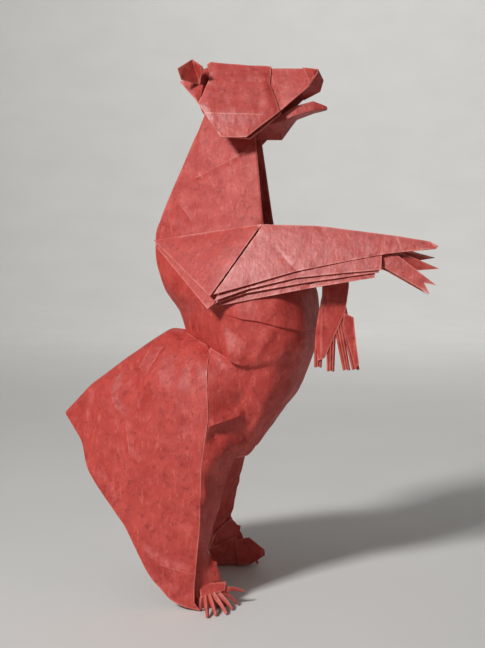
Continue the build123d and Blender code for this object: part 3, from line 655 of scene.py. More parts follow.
# Legs: each haunch turns in at its front fold, laps over the belly as a thigh, narrows to a shin
# and opens to a boot. One strip of the sheet on each side, crumpled where it is folded hard, with
# a tuck across the thigh.
thigh_level = 86.0
leg_levels = (
    # height, then two bends, the front edge and the inner edge as (forward, outward); the thigh's
    # outward places are counted from the belly
    (thigh_level, (-2.0, 0.5), (5.0, 0.3), (12.0, -1.4), (17.0, -1.8)),
    (84.0, (-2.0, 0.6), (5.0, 0.3), (11.0, -1.2), (16.0, -1.8)),
    (81.0, (-2.0, 0.7), (4.5, 0.4), (10.0, -0.5), (14.0, -1.3)),
    (76.0, (-2.5, 1.0), (3.5, 0.3), (8.0, -0.3), (12.0, -1.2)),
    (68.0, (-3.4, 2.0), (1.2, 0.6), (6.0, -0.3), (9.0, -1.2)),
    (64.6, (-4.2, 24.6), (0.6, 21.8), (6.0, 18.4), (4.0, 12.0)),
    (60.0, (-6.0, 23.2), (-2.4, 20.8), (3.8, 17.4), (-4.0, 8.0)),
    (54.5, (-5.0, 25.8), (-2.0, 24.0), (2.2, 17.2), (-8.6, 5.6)),
    (49.0, (-7.0, 26.4), (-4.9, 24.6), (-0.4, 17.4), (-9.8, 6.8)),
    (44.0, (-7.8, 25.4), (-6.0, 22.6), (-2.5, 17.5), (-11.0, 8.0)),
    (36.0, (-8.2, 25.6), (-6.6, 23.0), (-4.6, 18.6), (-12.6, 10.6)),
    (27.0, (-8.8, 25.8), (-7.8, 23.4), (-6.8, 20.0), (-14.0, 13.0)),
    (19.0, (-9.6, 26.2), (-9.0, 24.4), (-8.4, 22.2), (-16.0, 17.0)),
    (12.0, (-9.4, 26.6), (-7.4, 25.2), (-4.8, 23.0), (-15.0, 18.5)),
    (0.35, (-9.0, 26.6), (-5.4, 25.4), (-1.5, 23.0), (-14.0, 19.5)),
)
belly_level = 65.0
lap_start = 74.0
outer_rise = 2.6
thigh_gap = 0.6
fold_inset = 0.1
boot_level = 20.0
boot_back = 1.2
boot_out = 27.4
row_step = 1.1
leg_columns = (7, 7, 7, 10)
front_column = sum(leg_columns[:3])
thigh_top = ((-9.0, 88.6), (-1.0, 85.4), (4.3, 82.3), (7.5, 83.2), (11.1, 84.4), (15.0, 85.2), (18.0, 85.4))
thigh_tuck = ((-7.8, 62.7), (-3.5, 64.3), (2.1, 66.2))
tuck_level = 64.6
tuck_fade = 8.0
lap_height = 1.1
lap_reach = 3.4
pocket_depth = 1.2
pocket_reach = 4.0
pocket_back = -6.0
pocket_run = 3.0
tuck_lip = -0.3
tuck_front = 4.5
tuck_front_run = 2.5
leg_dents = 0.4
leg_dent_size = 9.0
leg_dents_apart = 40
leg_creases = (
    (((-6.0, 78.0), (2.0, 74.0)), 0.35, 2.6),
    (((-8.6, 40.0), (-5.0, 33.0)), 0.4, 2.0),
    (((-10.0, 24.0), (-7.0, 15.0)), -0.4, 2.0),
)


def refined(rows, *steps_each_way):
    """Rows of corner points filled in to a fine grid, by the steps from corner to corner down and across."""
    grid = np.array(rows, float)
    for axis, steps in enumerate(steps_each_way):
        corners = np.linspace(0, 1, len(steps) + 1)
        shares = [np.linspace(a, b, n, endpoint=False) for a, b, n in zip(corners, corners[1:], steps)]
        fine = np.concatenate(shares + [[1.0]])
        grid = np.apply_along_axis(lambda values: np.interp(fine, corners, values), axis, grid)
    return grid


def softened(grid, passes, kept_column):
    """The grid's sharp bends eased, with its edges and one fold held."""
    grid = grid.copy()
    fold = grid[:, kept_column].copy()
    for _ in range(passes):
        around = grid[:-2, 1:-1] + grid[2:, 1:-1] + grid[1:-1, :-2] + grid[1:-1, 2:]
        grid[1:-1, 1:-1] = 0.5 * grid[1:-1, 1:-1] + 0.125 * around
        grid[:, kept_column] = fold
    return grid


def strip_held(columns):
    """The share of its dents that each column of a strip takes: none at its two edges."""
    from_edge = np.minimum(np.arange(columns), columns - 1 - np.arange(columns))
    return np.clip(from_edge / 3, 0, 1)


def lapped(z):
    """How far up its lap over the belly the thigh is, 0 below the lap and 1 at the thigh's top."""
    return np.clip((z - lap_start) / (thigh_level - lap_start), 0, 1)


def tucked_thigh(x, above):
    """Lift at the tuck across the thigh: the paper above leans out over a pocket that deepens ahead."""
    over = above > tuck_lip
    lap = np.where(over, np.clip(1 - above / lap_reach, 0, 1), 0)
    pocket = np.where(over, 0, np.clip(1 + above / pocket_reach, 0, 1))
    pocket = pocket * np.clip((x - pocket_back) / pocket_run, 0, 1)
    return (lap_height * lap - pocket_depth * pocket) * np.clip((tuck_front - x) / tuck_front_run, 0, 1)


leg_paper = red_paper("leg paper", (thigh_tuck[:2],))
leg_rows = []
for z, *bends in leg_levels:
    on_belly = z > belly_level
    raised = z + outer_rise * lapped(z)
    outer_x, outer_y = fold_at(raised) - fold_inset, haunch_out(raised) - fold_inset
    if z < boot_level:
        outer_x, outer_y = fold_at(z) - boot_back, boot_out
    row = [(x, out, z) for x, out in bends]
    if on_belly:
        outer_y = max(outer_y, flank_out(outer_x, raised) + thigh_gap)
        row = []
        for x, out in bends:
            row.append((x, flank_out(x, z + (line_at(thigh_top, x) - thigh_level) * lapped(z)) + out, z))
        (first_x, first_y, _), (second_x, second_y, _) = row[:2]
        straight = outer_y + (second_y - outer_y) * (first_x - outer_x) / (second_x - outer_x)
        row[0] = (first_x, max(first_y, straight), z)
    leg_rows.append([(outer_x, outer_y, z), *row])
leg_steps = [max(2, round((a[0] - b[0]) / row_step)) for a, b in zip(leg_levels, leg_levels[1:])]
for side, name in ((-1, "right_leg"), (1, "left_leg")):
    leg = softened(refined(leg_rows, leg_steps, leg_columns), 5, front_column)
    above_tuck = leg[:, :, 2] - tuck_level
    leg[:, :, 2] += (line_at(thigh_top, leg[:, :, 0]) - thigh_level) * lapped(leg[:, :, 2])
    draw_row(leg, thigh_tuck, tuck_level, above_tuck, tuck_fade)
    leg[:, :, 1] *= side
    flat_points = leg.reshape(-1, 3)
    lift = crumpled(flat_points + (0, 0, leg_dents_apart * side), leg_dents, leg_dent_size)
    lift += creased(flat_points, leg_creases)
    lift = lift.reshape(leg.shape[:2]) + tucked_thigh(leg[:, :, 0], above_tuck)
    lift *= strip_held(leg.shape[1]) * side
    lift[-1] = 0
    grid_paper(name, leg, leg_paper, lift)

# Feet: each boot stands on a flat sole, and the end of the strip is slit into seven toes.
# Every toe is a narrow pleat pressed to a ridge; the innermost one is bent up off the ground.
# Flat wraps of the same paper close the instep and go round the left boot.
toe_width = 2.4
toe_height = 1.7
toe_taper = 0.45
toe_arch = 0.5
claw_ease = 0.06
claw_steps = 7
# Paler along each toe's ridge and less so at its lower edges: a painted highlight on the ridge, with some
# wear.
claw_ridge_highlight_and_wear = (0.3, 1.0, 0.3)
ankle_out = 23.0
toe_tips = (
    # forward, out from the ankle, up
    (-9.2, 6.8, 0.7),
    (-5.4, 13.2, 0.7),
    (-2.9, 11.1, 0.7),
    (0.3, 9.0, 0.7),
    (1.4, 4.5, 0.7),
    (2.3, -0.4, 0.9),
    (4.0, -3.0, 4.6),
)
instep_back = np.array((-9.0, 28.0, 4.8))
instep_front = np.array((-2.4, 24.2, 6.4))


def pleated_claw(name, root, tip, width, height, taper, ridge_towards, arch, material):
    """A narrow pleat that runs from root to tip, arched a little and pressed to a ridge."""
    root, tip = np.array(root, float), np.array(tip, float)
    axis = (tip - root) / np.linalg.norm(tip - root)
    across = np.cross(ridge_towards, axis)
    across /= np.linalg.norm(across)
    rising = np.cross(axis, across)
    points, faces = [], []
    for share in np.linspace(0, 1, claw_steps):
        scale = 1 + (taper - 1) * share
        middle = root + (tip - root) * share + rising * arch * math.sin(math.pi * share)
        half, rise = across * width / 2 * scale, rising * height / 2 * scale
        points += [middle - half - rise, middle + rise, middle + half - rise]
    for a in range(0, 3 * (claw_steps - 1), 3):
        for left, right in ((0, 1), (1, 2), (2, 0)):
            faces.append((a + left, a + 3 + left, a + 3 + right, a + right))
    faces.append((0, 1, 2))
    faces.append((len(points) - 1, len(points) - 2, len(points) - 3))
    mesh = paper_mesh(name, points, faces, claw_ridge_highlight_and_wear * claw_steps)
    body = bmesh.new()
    body.from_mesh(mesh)
    bmesh.ops.recalc_face_normals(body, faces=body.faces)
    ease = claw_ease / 1000
    bmesh.ops.bevel(body, geom=body.edges[:], offset=ease, segments=1, affect="EDGES", clamp_overlap=True)
    body.to_mesh(mesh)
    body.free()
    paper_piece(name, mesh, material)


toe_paper = red_paper("toe paper")
for side, name in ((-1, "right"), (1, "left")):
    for number, (forward, out, up) in enumerate(toe_tips):
        root = instep_back + (instep_front - instep_back) * number / (len(toe_tips) - 1)
        pleated_claw(
            f"{name}_toe_{number + 1}",
            (root[0], side * root[1], root[2]),
            (forward, side * (ankle_out + out), up),
            toe_width,
            toe_height,
            toe_taper,
            (0, 0, 1),
            toe_arch,
            toe_paper,
        )
first_cut = 0.7
last_cut = 0.3
cut_step = 1.5
flap_dents_apart = 37
flap_dent_size = 10.0
rub_and_highlight_width = 0.8


def flap_paper(name, corners, outline, material, lift=None, dents=0.12, side=1):
    """A flat flap on the plane through three corners, cut to an outline on the side view.

    The corners are given on the right side of the bear, and side 1 puts the flap on its left."""
    a, b, c = (np.array(p, float) for p in corners)
    normal = np.cross(b - a, c - a)
    normal *= -np.sign(normal[1]) / np.linalg.norm(normal)
    body = bmesh.new()
    rim = []
    for x, z in outline:
        y = a[1] - (normal[0] * (x - a[0]) + normal[2] * (z - a[2])) / normal[1]
        rim.append(np.array((x, y, z)))
    body.faces.new([body.verts.new(p) for p in rim])
    bmesh.ops.triangulate(body, faces=body.faces[:])
    first = (b - a) / np.linalg.norm(b - a)
    for direction in (first, np.cross(normal, first)):
        reach = [p @ direction for p in rim]
        for offset in np.arange(min(reach) + first_cut, max(reach) - last_cut, cut_step):
            geometry = body.verts[:] + body.edges[:] + body.faces[:]
            bmesh.ops.bisect_plane(body, geom=geometry, plane_co=direction * offset, plane_no=direction)
    body.verts.index_update()
    points = np.array([v.co for v in body.verts])
    faces = [[v.index for v in f.verts] for f in body.faces]
    body.free()
    edge = np.full(len(points), np.inf)
    for p, q in zip(rim, rim[1:] + rim[:1]):
        share = np.clip((points - p) @ (q - p) / ((q - p) @ (q - p)), 0, 1)
        edge = np.minimum(edge, np.linalg.norm(points - p - share[:, None] * (q - p), axis=1))
    height = crumpled(points + (0, flap_dents_apart * side, 0), dents, flap_dent_size)
    height *= np.clip(edge / 3, 0.15, 1)
    if lift is not None:
        height += lift(points, edge)
    points = points + normal * height[:, None]
    if side > 0:
        points = points * (1, -1, 1)
    # The flap is painted pale near its rim: wear and a painted edge highlight.
    paper_object(name, points, faces, 1 - edge / rub_and_highlight_width, material, folded=False)


instep_corners = ((-9.8, -26.4, 8.0), (-2.2, -23.6, 8.4), (-6.0, -27.8, 4.6))
instep_outline = ((-10.4, 8.2), (-1.6, 8.6), (-1.6, 6.2), (-9.2, 4.2))
for side, name in ((-1, "right_instep"), (1, "left_instep")):
    flap_paper(name, instep_corners, instep_outline, toe_paper, dents=0.06, side=side)
left_foot_corners = ((-6.0, -21.4, 10.4), (-1.2, -22.0, 11.2), (4.0, -20.8, 5.0))
left_foot_outline = ((-6.4, 10.2), (-1.2, 11.2), (4.8, 6.9), (3.2, 6.0), (5.1, 4.7), (-0.3, 1.2), (-5.0, 1.2))
flap_paper("left_foot", left_foot_corners, left_foot_outline, toe_paper, dents=0.08, side=1)
boot_wraps = (
    # three corners, then the outline of a wrap around the left boot
    (
        ((-16.7, -17.5, 7.0), (-6.3, -21.6, 11.6), (-2.4, -22.0, 1.7)),
        ((-16.7, 6.9), (-6.3, 11.6), (-2.4, 1.4), (-14.7, 1.4)),
    ),
    (
        ((-13.6, -18.0, 13.8), (-8.0, -21.3, 19.0), (-16.7, -17.2, 6.9)),
        ((-13.6, 13.8), (-8.0, 19.0), (-6.3, 11.4), (-16.7, 6.7)),
    ),
)
for number, (corners, outline) in enumerate(boot_wraps):
    flap_paper(f"left_boot_wrap_{number + 1}", corners, outline, toe_paper, dents=0.06, side=1)
sole_outline = ((-1.3, 23.0), (-13.0, 27.6), (-14.4, 27.6), (-14.4, 19.2))
for side, name in ((-1, "right_sole"), (1, "left_sole")):
    points = [(x, side * out, paper / 2) for x, out in sole_outline]
    # The whole sole is painted pale, as all of it counts as edge: wear and painted highlight.
    paper_object(name, points, [tuple(range(4))], (1, 1, 1, 1), toe_paper)

# Head: a roof of two skull flaps over the flattened top of the neck, with an outer cheek flap
# laid over each. The cheeks are pressed smooth and stand off a little at the back, so a slot
# shows beside the ear, and the skull's lower edge shows as a second ply below the cheek.
skull_outline = (
    (-21.8, 181.6),
    (-19.2, 183.2),
    (-11.0, 187.8),
    (10.0, 186.0),
    (15.0, 169.1),
    (4.8, 160.2),
    (-4.8, 161.3),
    (-14.4, 173.5),
)
skull_corners = ((-11.0, -0.1, 187.7), (10.0, -0.1, 185.9), (0.0, -12.2, 160.7))
cheek_bottom = 160.7
cheek_height = 27.5
cheek_bulge = 0.7
cheek_stand_off = 0.7
stand_off_from = -6.0
stand_off_run = 8.0
cheek_outline = (
    (-12.6, 187.5),
    (-11.4, 188.5),
    (10.3, 186.6),
    (10.3, 180.0),
    (14.5, 169.8),
    (3.7, cheek_bottom),
    (-5.0, cheek_bottom),
    (-14.3, 173.0),
    (-13.0, 175.7),
    (-11.0, 182.8),
)
cheek_corners = ((-11.4, -0.2, 188.2), (10.3, -0.2, 186.4), (0.0, -13.8, cheek_bottom))
cheek_fold = ((-10.8, 169.6), (8.6, 168.7))
cheek_creases = (
    (cheek_fold, 0.35, 3.0),
    (((2.3, 186.6), (-0.7, 175.9)), -0.35, 4.0),
    (((7.8, 182.0), (9.4, 177.8)), 0.3, 1.6),
    (((-2.0, 175.0), (-1.5, 167.0)), 0.2, 2.0),
    (((7.0, 176.5), (7.6, 168.0)), -0.25, 2.4),
)
slot_edge = ((173.0, -14.6), (187.5, -13.2))
slot_share = 0.75
slot_rise = 2.0
slot_width = 9.0
slot_end = 5.0
slot_foot = 169.0
slot_foot_run = 4.0
cheek_paper = red_paper("cheek paper", (cheek_fold,), pressed=True)
skull_paper = red_paper("skull paper")


def skull_dip(points, edge):
    """The skull flap turned in under the cheek, which leaves a dark slot behind the cheek's edge."""
    into = points[:, 0] - line_at(slot_edge, points[:, 2])
    strip = np.clip(into / slot_rise, 0, 1) * np.clip((slot_width - into) / slot_end, 0, 1)
    above_foot = np.clip((points[:, 2] - slot_foot) / slot_foot_run, 0, 1)
    return -slot_share * np.abs(points[:, 1]) * strip * above_foot


def cheek_bow(points, edge):
    """The cheek bowed out between crown and lower edge, creased, and standing off the skull at the back."""
    up = np.clip((points[:, 2] - cheek_bottom) / cheek_height, 0, 1)
    bow = cheek_bulge * np.sin(np.pi * up) * np.clip(edge / 2, 0, 1)
    stand_off = cheek_stand_off * np.clip((stand_off_from - points[:, 0]) / stand_off_run, 0, 1)
    return bow + creased(points, cheek_creases) + stand_off


for side, name in ((-1, "right"), (1, "left")):
    flap_paper(f"{name}_skull", skull_corners, skull_outline, skull_paper, skull_dip, 0.08, side)
    flap_paper(f"{name}_cheek", cheek_corners, cheek_outline, cheek_paper, cheek_bow, 0.14, side)
nape_corners = ((-13.6, 0, 168.5), (3.0, 0, 186.8), (3.0, 0, 182.2))
nape_outline = ((-13.6, 168.5), (-10.5, 176.0), (-5.2, 187.4), (3.0, 186.8), (3.0, 182.2))
flap_paper("nape", nape_corners, nape_outline, skull_paper, side=-1)

# Muzzle, nose and jaw: a narrower roof drawn out from under the cheeks, a pad bent down over its
# end, and a trough with a deep chin slid in between the front edges of the neck. All of it is
# pressed paper, and a small fold on each side holds the pad.
muzzle_stations = (
    # along, ridge, rim, half width
    (8.0, 185.6, 172.0, 7.0),
    (14.5, 185.4, 170.0, 7.4),
    (24.5, 185.2, 178.8, 5.0),
    (26.9, 185.0, 183.6, 2.6),
)
jaw_stations = (
    # along, keel, then the fold and the rim as (outward, height)
    (0.5, 161.5, (8.4, 164.0), (8.4, 165.3)),
    (14.0, 161.2, (5.4, 166.5), (5.0, 168.5)),
    (19.2, 168.0, (4.5, 168.9), (3.7, 172.1)),
    (25.3, 170.2, (3.3, 170.7), (2.3, 173.9)),
    (30.0, 171.1, (0.9, 171.5), (0.6, 172.2)),
)
muzzle_columns = (8, 8)
jaw_columns = (3, 5, 5, 3)
muzzle_paper = red_paper("muzzle paper", pressed=True)
muzzle_rows = []
for x, ridge, rim, half in muzzle_stations:
    muzzle_rows.append([(x, -half, rim), (x, 0.0, ridge), (x, half, rim)])
jaw_rows = []
for x, keel, (fold_out, fold), (rim_out, rim) in jaw_stations:
    right_side = [(x, -rim_out, rim), (x, -fold_out, fold)]
    left_side = [(x, fold_out, fold), (x, rim_out, rim)]
    jaw_rows.append(right_side + [(x, 0.0, keel)] + left_side)
for name, rows, columns, dents in (
    ("muzzle", muzzle_rows, muzzle_columns, 0.1),
    ("jaw", jaw_rows, jaw_columns, 0.05),
):
    grid = refined(rows, [6] * (len(rows) - 1), columns)
    middle = sum(columns) // 2
    fold_held = np.clip(np.abs(np.arange(grid.shape[1]) - middle) / 3, 0, 1)
    lift = crumpled(grid.reshape(-1, 3), dents, 8.0).reshape(grid.shape[:2])
    grid_paper(name, grid, muzzle_paper, lift * strip_held(grid.shape[1]) * fold_held, folds=(middle,))
nose_fold_corners = ((21.4, -0.6, 185.5), (26.9, -0.6, 184.9), (24.3, -5.5, 178.9))
nose_fold_outline = ((21.4, 185.8), (27.0, 185.0), (24.3, 179.0), (23.5, 181.4))
for side, name in ((-1, "right_nose_fold"), (1, "left_nose_fold")):
    flap_paper(name, nose_fold_corners, nose_fold_outline, muzzle_paper, dents=0.03, side=side)
nose_profile = (
    # forward and height along the middle, then how far the sides are drawn back and up
    (26.6, 185.1, 0.6, -0.6),
    (28.5, 181.2, 1.2, 0.4),
    (27.4, 177.6, 1.4, 1.0),
    (21.7, 174.8, 0.4, 1.6),
)
nose_sides = ((-3.3, 2.4), (-1.7, 0.9), (0.0, 0.0), (1.7, 0.9), (3.3, 2.4))
nose_rows = []
for y, drawn in nose_sides:
    nose_rows.append([(x - back * drawn, y, z + up * drawn) for x, z, back, up in nose_profile])
nose = refined(nose_rows, (4, 4, 4, 4), (4, 4, 6))
# The nose's edges are painted only faintly pale, a weaker painted highlight, as the pad faces away from the
# light.
grid_paper("nose", nose, muzzle_paper, np.zeros(nose.shape[:2]), edge_rub_and_highlight=0.2)

# Ears: a small flap of the skull's paper on each side, drawn up behind the cheek.
# It is opened out by a valley fold down its middle, so each ear has a back and a front half.
ear_base = (-14.5, -3.54, 180.4)
ear_top = (-16.7, -7.0, 188.7)
ear_halves = (
    # half, its outer corner, then any further point of its outline
    ("back", (-21.2, -10.0, 185.2), [(-20.2, 181.5)]),
    ("front", (-12.4, -9.6, 185.7), []),
)
for side, name in ((-1, "right"), (1, "left")):
    for half, outer_corner, further in ear_halves:
        corners = (ear_base, ear_top, outer_corner)
        outline = [(x, z) for x, _, z in corners] + further
        flap_paper(f"{name}_ear_{half}", corners, outline, skull_paper, dents=0.06, side=side)

# Shoulders: two flaps on each side, laid over the trunk from the spine to the elbow, the outer
# one a clean triangle and the lining a narrow strip that shows below it. Pressed smooth.
collar = (9.6, -15.4, 131.0)
elbow = (-6.2, -25.5, 106.5)
hump = (-32.5, -0.8, 125.8)
lining_corners = ((-32.0, -0.2, 124.4), (9.6, -14.8, 130.4), (-7.2, -24.5, 102.5))
lining_outline = ((-32.0, 125.2), (7.0, 129.5), (-5.6, 104.1), (-7.7, 102.5), (-31.9, 123.8))
shoulder_outline = ((-32.5, 125.8), (9.6, 131.0), (8.2, 129.4), (-6.6, 106.7))
fingertip_crease = ((55.0, 126.6), (56.7, 122.3))
arm_paper = red_paper("arm paper", (fingertip_crease,), pressed=True)


def bowed(depth):
    """A flap's middle standing proud of its edges."""
    return lambda points, edge: depth * (1 - np.exp(-edge / 6.0))


for side, name in ((-1, "right"), (1, "left")):
    flap_paper(f"{name}_shoulder", (hump, collar, elbow), shoulder_outline, arm_paper, bowed(0.5), 0.16, side)
    flap_paper(f"{name}_lining", lining_corners, lining_outline, arm_paper, dents=0.08, side=side)

# Right arm: four pleats of the same flap that lie together along the top and fan out from the
# elbow, reaching straight ahead, with three forked claws tucked in between them at the wrist and
# the edge of one more ply below.
fingertip = (68.4, -21.0, 124.0)
wrist = 50.2
pleat_spacing = 0.3
pleat_fan = 1.4
arm_top = ((9.0, 129.4), (9.6, 131.0), (29.1, 130.3), (55.3, 126.8), (65.8, 125.0), (68.4, 123.6))
hidden_top = ((11.2, 130.9), (29.1, 130.3))
arm_lower_edges = (
    ((67.7, 122.7), (51.9, 121.1), (37.8, 118.4), (22.0, 115.2), (6.0, 110.6), (-5.4, 107.4)),
    ((50.2, 122.5), (50.2, 115.8), (37.8, 114.7), (22.0, 113.0), (5.8, 109.2), (-5.3, 105.2)),
    ((49.6, 122.0), (49.4, 115.0), (25.5, 111.5), (5.1, 107.8), (-5.4, 104.2)),
    ((48.5, 121.0), (48.0, 113.3), (34.8, 111.0), (26.4, 109.6), (-5.5, 103.2)),
)
for layer, lower_edge in enumerate(arm_lower_edges):
    corners = (
        (collar[0], collar[1] + pleat_spacing * layer, collar[2]),
        (fingertip[0], fingertip[1] + pleat_spacing * layer, fingertip[2]),
        (elbow[0], elbow[1] + pleat_fan * layer, elbow[2]),
    )
    outline = (*(arm_top if layer == 0 else hidden_top), *lower_edge)
    flap_paper(f"arm_pleat_{layer + 1}", corners, outline, arm_paper, bowed(0.3), 0.12, -1)
hand_claws = (
    # depth of the tuck, how far the tip stands out, then the outline from the wrist down and ahead
    (0.9, -1.4, ((-6, 7.6), (-6, 2.5), (3.9, 2.4), (17.7, 13.1), (13.8, 12.3), (15.6, 16.0), (-0.2, 6.9))),
    (1.5, 2.4, ((-6, 6.0), (-6, 2.5), (6.8, 2.6), (18.6, 7.8), (11.8, 8.4), (4.8, 6.4))),
    (2.2, 4.2, ((-6, 5.0), (-6, 1.5), (6.8, 1.4), (17.1, 4.2), (9.8, 5.4))),
)
for number, (tuck, tip_out, outline) in enumerate(hand_claws):
    tip_x, tip_drop = max(outline)
    corners = (
        (wrist - 6.0, fingertip[1] + tuck, 119.0),
        (wrist + 4.8, fingertip[1] + tuck, 121.0),
        (wrist + tip_x, fingertip[1] + tip_out, fingertip[2] - tip_drop),
    )
    cut = [(wrist + x, fingertip[2] - drop) for x, drop in outline]
    flap_paper(f"right_claw_{number + 1}", corners, cut, arm_paper, dents=0.06, side=-1)
under_corners = ((wrist - 6.0, -19.0, 119.0), (wrist + 4.8, -19.0, 121.0), (wrist + 15.6, -20.9, 108.0))
under_outline = ((wrist - 3.0, 117.0), (wrist + 3.0, 117.0), (wrist + 15.3, 107.6), (wrist + 1.4, 115.4))
flap_paper("right_claw_under", under_corners, under_outline, arm_paper, dents=0.04, side=-1)

# Left arm: the same shoulder, but the forearm is folded across the chest and the hand hangs from
# its end beside the right arm, creased to a ridge and pleated into four long claws of three plies
# each, with a flat flap along its outer edge.
left_upper_corners = (collar, (36.0, -20.0, 129.0), elbow)
left_upper_outline = (
    (9.6, 131.0),
    (34.0, 129.0),
    (38.1, 124.5),
    (38.1, 111.7),
    (22.0, 111.5),
    (6.0, 109.0),
    (-5.6, 106.8),
)
flap_paper("left_upper_arm", left_upper_corners, left_upper_outline, arm_paper, bowed(0.3), 0.12, 1)
forearm_columns = (20, 6)
forearm_edges = (124.0, 112.0)
upper_arm_out = 19.47
upper_arm_slope = 0.5
crossing_rows = []
for z in forearm_edges:
    bend_out = upper_arm_out - upper_arm_slope * (z - collar[2])
    crossing_rows.append([(38.0, bend_out, z), (37.0, -11.6, z), (30.3, -13.6, z)])
crossing = refined(crossing_rows, (8,), forearm_columns)
lift = crumpled(crossing.reshape(-1, 3), 0.2, 9.0).reshape(crossing.shape[:2])
lift *= strip_held(crossing.shape[1])
grid_paper("left_forearm", crossing, arm_paper, lift, folds=(forearm_columns[0],))
hand_ridge = 30.0
hand_top = 118.0
hand_low = 85.0
hand_out = -14.0
hand_lean = 2.0
hand_slope = 0.125
hand_side_slope = 0.75
hand_edge_gap = 0.35
ridge_top = (hand_ridge, hand_out, hand_top)
ridge_foot = (hand_ridge, hand_out - hand_lean, hand_low)
hand_corners = (ridge_top, (hand_ridge + 8.0, hand_out + 8.0 * hand_slope, hand_top), ridge_foot)
hand_side_corners = (ridge_top, ridge_foot, (27.8, hand_out, 92.0))
hand_edge_corners = [(x, y - hand_edge_gap, z) for x, y, z in hand_corners]
hand_outline = (
    (hand_ridge, 121.0),
    (38.6, 121.0),
    (39.0, 110.0),
    (37.9, 101.4),
    (31.2, 85.8),
    (hand_ridge, 85.2),
)
hand_side_outline = ((30.1, 107.6), (27.9, 94.7), (27.8, 89.7), (28.6, 84.6), (30.1, 85.2))
hand_edge_outline = (
    (37.6, 101.0),
    (40.7, 99.6),
    (41.8, 90.0),
    (42.7, 83.9),
    (41.7, 82.3),
    (40.7, 84.7),
    (37.0, 97.8),
)
hand_paper = red_paper("hand paper")
flap_paper("left_hand", hand_corners, hand_outline, hand_paper, dents=0.1, side=-1)
flap_paper("left_hand_side", hand_side_corners, hand_side_outline, hand_paper, dents=0.08, side=-1)
flap_paper("left_hand_edge", hand_edge_corners, hand_edge_outline, hand_paper, dents=0.06, side=-1)
left_claws = (
    # root and tip, forward of the hand's ridge and up from its foot
    ((-1.0, 4.0), (-1.3, -2.4)),
    ((3.2, 8.9), (3.1, -3.6)),
    ((5.0, 14.4), (8.5, -3.2)),
    ((6.6, 18.2), (11.6, -3.0)),
)
claw_plies = ((-1.0, 0.45), (0.0, 0.3), (1.0, 0.45))
claw_width = 1.25
claw_height = 0.8
claw_taper = 0.85
claw_arch = 0.25
claw_spread = (1.0, 0.8)
outer_ply_drop = 0.3
for number, ends in enumerate(left_claws):
    for ply, (aside, behind) in enumerate(claw_plies):
        root_and_tip = []
        for (x, up), squeeze in zip(ends, claw_spread):
            z = hand_low + up
            from_ridge = hand_slope * x if x > 0 else -hand_side_slope * x
            leaning = hand_lean * (hand_top - z) / (hand_top - hand_low)
            y = hand_out + from_ridge - leaning + behind
            root_and_tip.append((hand_ridge + x + aside * squeeze, y, z - outer_ply_drop * abs(aside)))
        pleated_claw(
            f"left_claw_{number + 1}_{ply + 1}",
            *root_and_tip,
            claw_width,
            claw_height,
            claw_taper,
            (0, -1, 0),
            claw_arch,
            hand_paper,
        )

# Floor, light and camera: a plain pale floor that curves up into a round backdrop, in metres.
# One soft box lights the bear from above and behind its right side, another lights the backdrop,
# and the camera stands where the photograph was taken.
floor_reach = 1.4
cove = 0.8
backdrop_top = 2.4
turns = 96
floor_profile = [(0.0, 0.0), (floor_reach, 0.0)]
for a in np.linspace(0.1, math.pi / 2, 16):
    floor_profile.append((floor_reach + cove * math.sin(a), cove - cove * math.cos(a)))
floor_profile.append((floor_reach + cove, backdrop_top))
floor_points = []
for reach, rise in floor_profile:
    for a in np.linspace(0, 2 * math.pi, turns, endpoint=False):
        floor_points.append((reach * math.cos(a), reach * math.sin(a), rise))
floor_faces = []
for ring in range(len(floor_profile) - 1):
    for turn in range(turns):
        next_turn = (turn + 1) % turns
        low_ring, high_ring = ring * turns, (ring + 1) * turns
        floor_faces.append((low_ring + turn, high_ring + turn, high_ring + next_turn, low_ring + next_turn))
floor_mesh = bpy.data.meshes.new("floor")
floor_mesh.from_pydata(floor_points, [], floor_faces)
floor_mesh.shade_smooth()
floor = bpy.data.objects.new("floor", floor_mesh)
bpy.context.scene.collection.objects.link(floor)
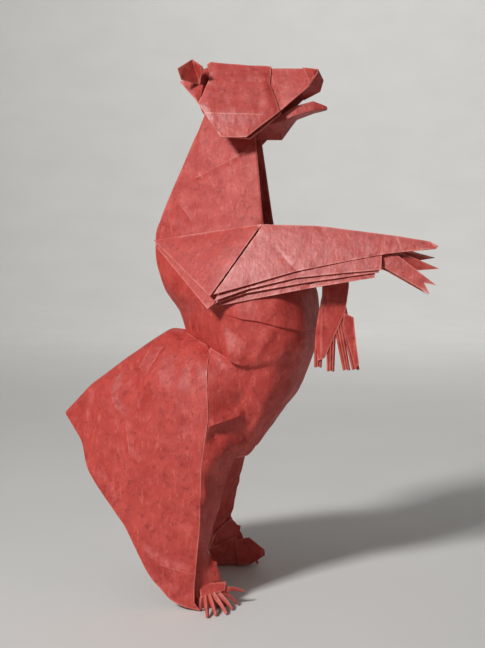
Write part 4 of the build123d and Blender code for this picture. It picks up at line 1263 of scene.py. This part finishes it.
floor_paint = bpy.data.materials.new("pale floor")
floor_paint.use_nodes = True
floor_shader = floor_paint.node_tree.nodes["Principled BSDF"]
floor_shader.inputs["Roughness"].default_value = 0.7
grain = floor_paint.node_tree.nodes.new("ShaderNodeTexNoise")
grain.inputs["Scale"].default_value = 40.0
shade = floor_paint.node_tree.nodes.new("ShaderNodeMix")
shade.data_type = "RGBA"
shade.inputs["A"].default_value = srgb(216, 215, 212)
shade.inputs["B"].default_value = srgb(226, 225, 222)
floor_paint.node_tree.links.new(grain.outputs["Fac"], shade.inputs["Factor"])
floor_paint.node_tree.links.new(shade.outputs["Result"], floor_shader.inputs["Base Color"])
floor_mesh.materials.append(floor_paint)

world = bpy.data.worlds.new("studio")
bpy.context.scene.world = world
world.use_nodes = True
world.node_tree.nodes["Background"].inputs["Color"].default_value = srgb(222, 222, 222)
world.node_tree.nodes["Background"].inputs["Strength"].default_value = 0.22


def turned_to(thing, place, aim):
    """Put a lamp or the camera at a place, pointed at another."""
    thing.location = place
    thing.rotation_euler = (Vector(aim) - Vector(place)).to_track_quat("-Z", "Y").to_euler()


def soft_light(name, place, aim, size, power, spread=180):
    """A square soft box pointed at a place, with a grid in front where its light is kept together."""
    lamp = bpy.data.lights.new(name, "AREA")
    lamp.size = size
    lamp.energy = power
    lamp.spread = math.radians(spread)
    box = bpy.data.objects.new(name, lamp)
    bpy.context.scene.collection.objects.link(box)
    turned_to(box, place, aim)


soft_light("key", (-0.47, -0.72, 0.70), (0, 0, 0.1), size=0.16, power=1.5, spread=70)
soft_light("backdrop", (0.0, 0.9, 1.3), (0.0, 2.2, 0.4), size=0.8, power=14.0)

scene = bpy.context.scene
scene.view_settings.view_transform = "Standard"
lens = bpy.data.cameras.new("camera")
lens.lens = 55.56
lens.sensor_width = 36.0
camera = bpy.data.objects.new("camera", lens)
scene.collection.objects.link(camera)
camera_place = (0.06145, -0.35358, 0.12213)
camera_aim = (-0.0009, 0, 0.09576)
turned_to(camera, camera_place, camera_aim)
scene.camera = camera
